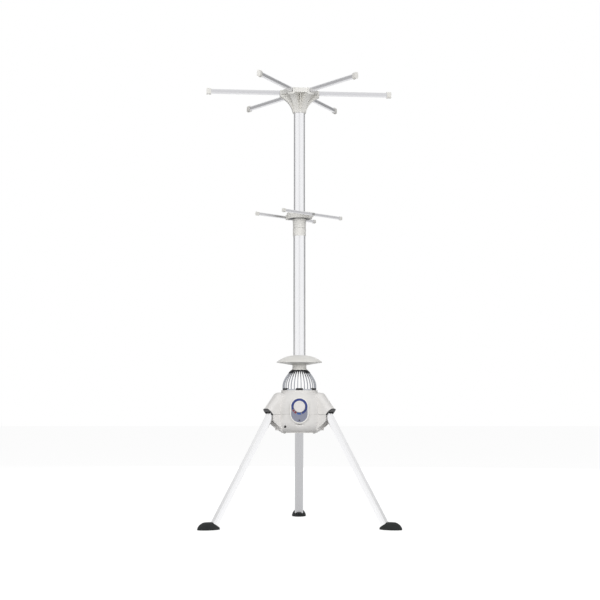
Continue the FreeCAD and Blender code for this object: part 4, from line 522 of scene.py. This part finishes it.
# How far a clip stands before and behind the cage's circle, and the rounding of its edges.
CLIP_PROUD = 0.8 * MM
CLIP_DEPTH = 6 * MM
CLIP_ROUND = 1 * MM


def cage_foot():
    """The cage's outer radius and the height that it stands at."""
    return extent("outlet_cage")[0] / 2, foot_of("outlet_cage")


def rib_line():
    """The centre line of a cage rib, straight up and then curving in to the black ring."""
    radius = extent("outlet_cage")[0] / 2 - RIB_HALF_DEPTH
    top_radius = extent("cage_ring")[0] / 2 - RIB_HALF_DEPTH
    foot, top = foot_of("outlet_cage"), top_of("outlet_cage")
    bend = Vector((radius, 0, foot + (top - foot) * RIB_BEND_SHARE))
    start = Vector((radius, 0, foot))
    end = Vector((top_radius, 0, top))
    line = [start]
    for index in range(RIB_STEPS + 1):
        share = index / RIB_STEPS
        low = start.lerp(bend, RIB_EASE_SHARE + share * (1 - RIB_EASE_SHARE))
        high = bend.lerp(end, share)
        line.append(low.lerp(high, share))
    return line


class DRYER_OT_cage_ribs(bpy.types.Operator):
    """Builds the chromed ribs over the air outlet and the ring that joins their feet"""
    bl_idname = "dryer.cage_ribs"
    bl_label = "Cage ribs"

    def execute(self, context):
        trim, colours = context.scene.dryer_trim, context.scene.dryer_colours
        bm = bmesh.new()
        sweep_rod(bm, rib_line(), RIB_HALF_DEPTH, trim.rib_width / 2)
        ring_round_mast(bm, trim.rib_count)
        radius, low = cage_foot()
        turned_ring(bm, [(radius - FOOT_RING, low), (radius, low), (radius, low + FOOT_RING),
                         (radius - FOOT_RING, low + FOOT_RING)])
        chrome = chromed_steel("chromed steel rod", colours.cage_chrome)
        ribs = finish_piece("cage_ribs", bm, "base", chrome, smooth_angle=ROD_SMOOTH_ANGLE)
        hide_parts("outlet_cage")
        return {"FINISHED"}


class DRYER_OT_rib_sleeves(bpy.types.Operator):
    """Builds the black sleeves on the ribs' tops, whose black is painted shade under the cage ring"""
    bl_idname = "dryer.rib_sleeves"
    bl_label = "Rib shade sleeves"

    def execute(self, context):
        trim, colours = context.scene.dryer_trim, context.scene.dryer_colours
        shade_sleeve_foot = top_of("outlet_cage") - trim.shade_sleeve_length
        line = [point for point in rib_line() if point.z > shade_sleeve_foot]
        bm = bmesh.new()
        sweep_rod(bm, line, RIB_HALF_DEPTH + trim.shade_sleeve_wall, trim.rib_width / 2 + trim.shade_sleeve_wall)
        ring_round_mast(bm, trim.rib_count)
        # The sleeves' black paints the shade on the ribs' tops under the cage ring.
        nylon = moulded_nylon("black nylon painted shade sleeves", colours.nylon_black, colours.nylon_cloud)
        finish_piece("rib_shade_sleeves", bm, "base", nylon, smooth_angle=ROD_SMOOTH_ANGLE)
        return {"FINISHED"}


class DRYER_OT_cage_clips(bpy.types.Operator):
    """Builds the black clips that hold the cage's foot"""
    bl_idname = "dryer.cage_clips"
    bl_label = "Cage clips"

    def execute(self, context):
        trim, colours = context.scene.dryer_trim, context.scene.dryer_colours
        radius, low = cage_foot()
        inner, outer = radius - CLIP_DEPTH, radius + CLIP_PROUD
        side = trim.clip_width / 2
        bm = bmesh.new()
        face = outline_face(bm, [(inner, -side, low), (outer, -side, low),
                                 (outer, side, low), (inner, side, low)])
        thicken(bm, [face], (0, 0, trim.clip_height))
        ring_round_mast(bm, trim.clip_count, first=-QUARTER_TURN)
        nylon = moulded_nylon("moulded black nylon clips", colours.nylon_black, colours.nylon_cloud)
        finish_piece("cage_clips", bm, "base", nylon, bevel=CLIP_ROUND)
        return {"FINISHED"}


# The print on the control panel.

PRINT_STEP = 3 * DEGREE
PRINT_LEAST_STEPS = 4


class DRYER_OT_panel_print(bpy.types.Operator):
    """Builds the printed band and marks round the timer knob"""
    bl_idname = "dryer.panel_print"
    bl_label = "Panel print"

    def execute(self, context):
        trim, colours = context.scene.dryer_trim, context.scene.dryer_colours
        navy = printed_polycarbonate("navy screen print", colours.print_navy, colours.navy_shade)
        blue = printed_polycarbonate("blue screen print", colours.print_blue, colours.blue_shade)
        red = printed_polycarbonate("red screen print", colours.print_red, colours.red_shade)
        # Each arc's name, the clock angles in degrees at which it starts and ends, and its ink.
        for name, start, end, ink in (
                ("print_band", -114, 158, navy), ("print_cool", 168, 198, blue),
                ("print_warm_1", 207, 223, red), ("print_warm_2", 229, 242, red)):
            self.add_arc(trim, name, start * DEGREE, end * DEGREE, ink)
        return {"FINISHED"}

    def add_arc(self, trim, name, start, end, ink):
        """One printed arc, from and to clock angles measured from the top."""
        inner = extent("timer_knob")[0] / 2 + trim.knob_clearance
        outer = extent("control_panel")[0] / 2 - trim.knob_clearance
        centre = middle("timer_knob")
        face_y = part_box("control_panel")[0][1]
        pivot = (centre.x, face_y, centre.z)
        bm = bmesh.new()
        verts = [bm.verts.new((centre.x, face_y, centre.z + radius)) for radius in (inner, outer)]
        edge = bm.edges.new(verts)
        bmesh.ops.rotate(bm, verts=verts, cent=pivot, matrix=Matrix.Rotation(start, 3, "Y"))
        steps = max(PRINT_LEAST_STEPS, int(abs(end - start) / PRINT_STEP))
        bmesh.ops.spin(bm, geom=[edge] + verts, cent=pivot, axis=(0, 1, 0), angle=end - start, steps=steps)
        thicken(bm, bm.faces[:], (0, -trim.print_thickness, 0))
        finish_piece(name, bm, "base", ink)


# The stage.

FLOOR_REACH = 15
FLOOR_GREY = "#A8A8A8"
# How bright the floor's white and the film that takes the shadow show.
FLOOR_GLOW = 0.86
FLOOR_VEIL = 0.26

# How strongly the tent lights the object. Metal mirrors a band of flags round the horizon, faintly blue,
# whose places run from the front at 0 to the back at 1, each with its level. Past the band's top it is white.
WHITE = (1, 1, 1, 1)
TENT_LEVEL = 0.42
TENT_FRONT = (0.74, 0.74, 0.76, 1)
TENT_FLAGS = ((0.05, 0.88), (0.1, 1.0), (0.48, 1.0), (0.58, 0.34), (0.76, 0.3), (0.9, 0.85))
FLAG_BLUE = 1.01
FLAG_TOP = 16 * DEGREE
FLAG_FADE = 6 * DEGREE

# Each lamp's name, place, width in metres and power in watts.
LAMPS = (
    ("key light", (-0.9, -3.4, 1.5), 1.8, 52),
    ("fill light", (1.3, -3.4, 1.3), 2.0, 42),
    ("top light", (0.0, 0.4, 3.4), 1.6, 10),
    ("back light", (0.4, 3.4, 1.3), 2.0, 40),
)
LAMP_AIM = (0, 0, 0.7)

# The camera was fitted to the mast, the arms and the feet.
CAMERA_SENSOR = 36.0
CAMERA_LENS = 80.34
CAMERA_SHIFT = 0.001
CAMERA_PLACE = (0.0, -4.419, 0.416)
CAMERA_PITCH = 4.15 * DEGREE


def seen_directly(tree, path):
    """1 for rays that come from the camera, a mirror or glass."""
    most = add_node(tree, "ShaderNodeMath", {"operation": "MAXIMUM"},
                    {0: path.outputs["Is Camera Ray"], 1: path.outputs["Is Glossy Ray"]})
    return add_node(tree, "ShaderNodeMath", {"operation": "MAXIMUM"},
                    {0: most.outputs[0], 1: path.outputs["Is Transmission Ray"]}).outputs[0]


class DRYER_OT_stage(bpy.types.Operator):
    """Sets up the floor, the studio light and the camera"""
    bl_idname = "dryer.stage"
    bl_label = "Stage"

    def execute(self, context):
        scene = context.scene
        scene.view_settings.view_transform = "Standard"
        self.add_floor()
        self.light_world(scene)
        for name, place, width, power in LAMPS:
            self.add_light(name, place, width, power)
        self.add_camera(scene)
        return {"FINISHED"}

    def add_floor(self):
        """A wide pale floor that shows white and keeps the shadow."""
        bm = bmesh.new()
        bmesh.ops.create_grid(bm, x_segments=1, y_segments=1, size=FLOOR_REACH)
        mesh = bpy.data.meshes.new("floor")
        bm.to_mesh(mesh)
        bm.free()
        floor = bpy.data.objects.new("floor", mesh)
        bpy.context.scene.collection.objects.link(floor)
        material, tree, shader = start_material("pale studio floor", FLOOR_GREY, {"Roughness": 0.9})
        path = add_node(tree, "ShaderNodeLightPath")
        seen = seen_directly(tree, path)
        glow = add_node(tree, "ShaderNodeEmission", {"Strength": FLOOR_GLOW})
        veil = add_node(tree, "ShaderNodeBsdfDiffuse", {"Color": (FLOOR_VEIL, FLOOR_VEIL, FLOOR_VEIL, 1.0)})
        shown = add_node(tree, "ShaderNodeAddShader", None, {0: glow.outputs[0], 1: veil.outputs[0]})
        both = add_node(tree, "ShaderNodeMixShader", None,
                        {0: seen, 1: shader.outputs[0], 2: shown.outputs[0]})
        tree.links.new(both.outputs[0], tree.nodes["Material Output"].inputs["Surface"])
        # The glow lights nothing, so no light samples go to it.
        material.cycles.emission_sampling = "NONE"
        mesh.materials.append(material)

    def light_world(self, scene):
        """A white tent: even light on the object, with low grey flags at the back that metal reflects."""
        world = bpy.data.worlds.new("studio tent")
        world.use_nodes = True
        tree = world.node_tree
        even = tree.nodes["Background"]
        even.inputs["Color"].default_value = WHITE
        even.inputs["Strength"].default_value = TENT_LEVEL
        path = add_node(tree, "ShaderNodeLightPath")
        seen = seen_directly(tree, path)
        mirrored = add_node(tree, "ShaderNodeBackground", {"Strength": 1.0},
                            {"Color": self.tent_colour(tree)})
        white = add_node(tree, "ShaderNodeBackground", {"Color": WHITE, "Strength": 1.0})
        shown = add_node(tree, "ShaderNodeMixShader", None,
                         {0: path.outputs["Is Glossy Ray"], 1: white.outputs[0], 2: mirrored.outputs[0]})
        both = add_node(tree, "ShaderNodeMixShader", None, {0: seen, 1: even.outputs[0], 2: shown.outputs[0]})
        tree.links.new(both.outputs[0], tree.nodes["World Output"].inputs["Surface"])
        scene.world = world

    def tent_colour(self, tree):
        """The tent's colour in each direction: a level band of flags, alike left and right, then white."""
        way = add_node(tree, "ShaderNodeTexCoord").outputs["Generated"]
        parts = add_node(tree, "ShaderNodeSeparateXYZ", None, {0: way})
        width = add_node(tree, "ShaderNodeMath", {"operation": "ABSOLUTE"}, {0: parts.outputs["X"]})
        front = add_node(tree, "ShaderNodeMath", {"operation": "MULTIPLY", 1: -1.0}, {0: parts.outputs["Y"]})
        round_way = add_node(tree, "ShaderNodeMath", {"operation": "ARCTAN2"},
                             {0: width.outputs[0], 1: front.outputs[0]})
        share = add_node(tree, "ShaderNodeMath", {"operation": "DIVIDE", 1: math.pi},
                         {0: round_way.outputs[0]})
        flags = add_node(tree, "ShaderNodeValToRGB", None, {"Fac": share.outputs[0]})
        ramp = flags.color_ramp
        ramp.elements[0].color = TENT_FRONT
        ramp.elements[1].color = WHITE
        for place, level in TENT_FLAGS:
            ramp.elements.new(place).color = (level, level, level * FLAG_BLUE, 1)
        rise = add_node(tree, "ShaderNodeMath", {"operation": "ABSOLUTE"}, {0: parts.outputs["Z"]})
        above = add_node(tree, "ShaderNodeMapRange", {
            "From Min": math.sin(FLAG_TOP), "From Max": math.sin(FLAG_TOP + FLAG_FADE)},
            {"Value": rise.outputs[0]})
        tent = add_node(tree, "ShaderNodeMix", {"data_type": "RGBA", 7: WHITE},
                        {0: above.outputs["Result"], 6: flags.outputs["Color"]})
        return tent.outputs[2]

    def add_light(self, name, place, width, power):
        """A square soft box that faces the object, flagged off from what metal mirrors."""
        data = bpy.data.lights.new(name, "AREA")
        data.shape = "SQUARE"
        data.size = width
        data.energy = power
        lamp = bpy.data.objects.new(name, data)
        lamp.visible_glossy = False
        lamp.location = place
        lamp.rotation_euler = (Vector(LAMP_AIM) - Vector(place)).to_track_quat("-Z", "Y").to_euler()
        bpy.context.scene.collection.objects.link(lamp)

    def add_camera(self, scene):
        """The photograph's camera: low, far and tilted slightly up."""
        data = bpy.data.cameras.new("camera")
        data.sensor_width = CAMERA_SENSOR
        data.lens = CAMERA_LENS
        data.shift_x = CAMERA_SHIFT
        camera = bpy.data.objects.new("camera", data)
        camera.location = CAMERA_PLACE
        camera.rotation_euler = (QUARTER_TURN + CAMERA_PITCH, 0, 0)
        scene.collection.objects.link(camera)
        scene.camera = camera


# The sidebar, and running it all.

PIECES = (DRYER_OT_finishes, DRYER_OT_cage_ribs, DRYER_OT_rib_sleeves, DRYER_OT_cage_clips,
          DRYER_OT_panel_print, DRYER_OT_stage)


class DRYER_PT_sidebar(bpy.types.Panel):
    """Lists the dryer's pieces and settings"""
    bl_idname = "DRYER_PT_sidebar"
    bl_label = "Clothes dryer"
    bl_space_type = "VIEW_3D"
    bl_region_type = "UI"
    bl_category = "Dryer"

    def draw(self, context):
        layout = self.layout
        for settings in (context.scene.dryer_colours, context.scene.dryer_trim):
            box = layout.box()
            for name in settings.__annotations__:
                box.prop(settings, name)
        for operator in PIECES:
            layout.operator(operator.bl_idname)


CLASSES = (DryerColours, DryerTrim, *PIECES, DRYER_PT_sidebar)


def register():
    for item in CLASSES:
        bpy.utils.register_class(item)
    bpy.types.Scene.dryer_colours = bpy.props.PointerProperty(type=DryerColours)
    bpy.types.Scene.dryer_trim = bpy.props.PointerProperty(type=DryerTrim)


def unregister():
    del bpy.types.Scene.dryer_trim
    del bpy.types.Scene.dryer_colours
    for item in reversed(CLASSES):
        bpy.utils.unregister_class(item)


def main():
    """Builds the dressed dryer."""
    register()
    for operator in PIECES:
        group, name = operator.bl_idname.split(".")
        getattr(getattr(bpy.ops, group), name)()


if __name__ == "__main__":
    main()
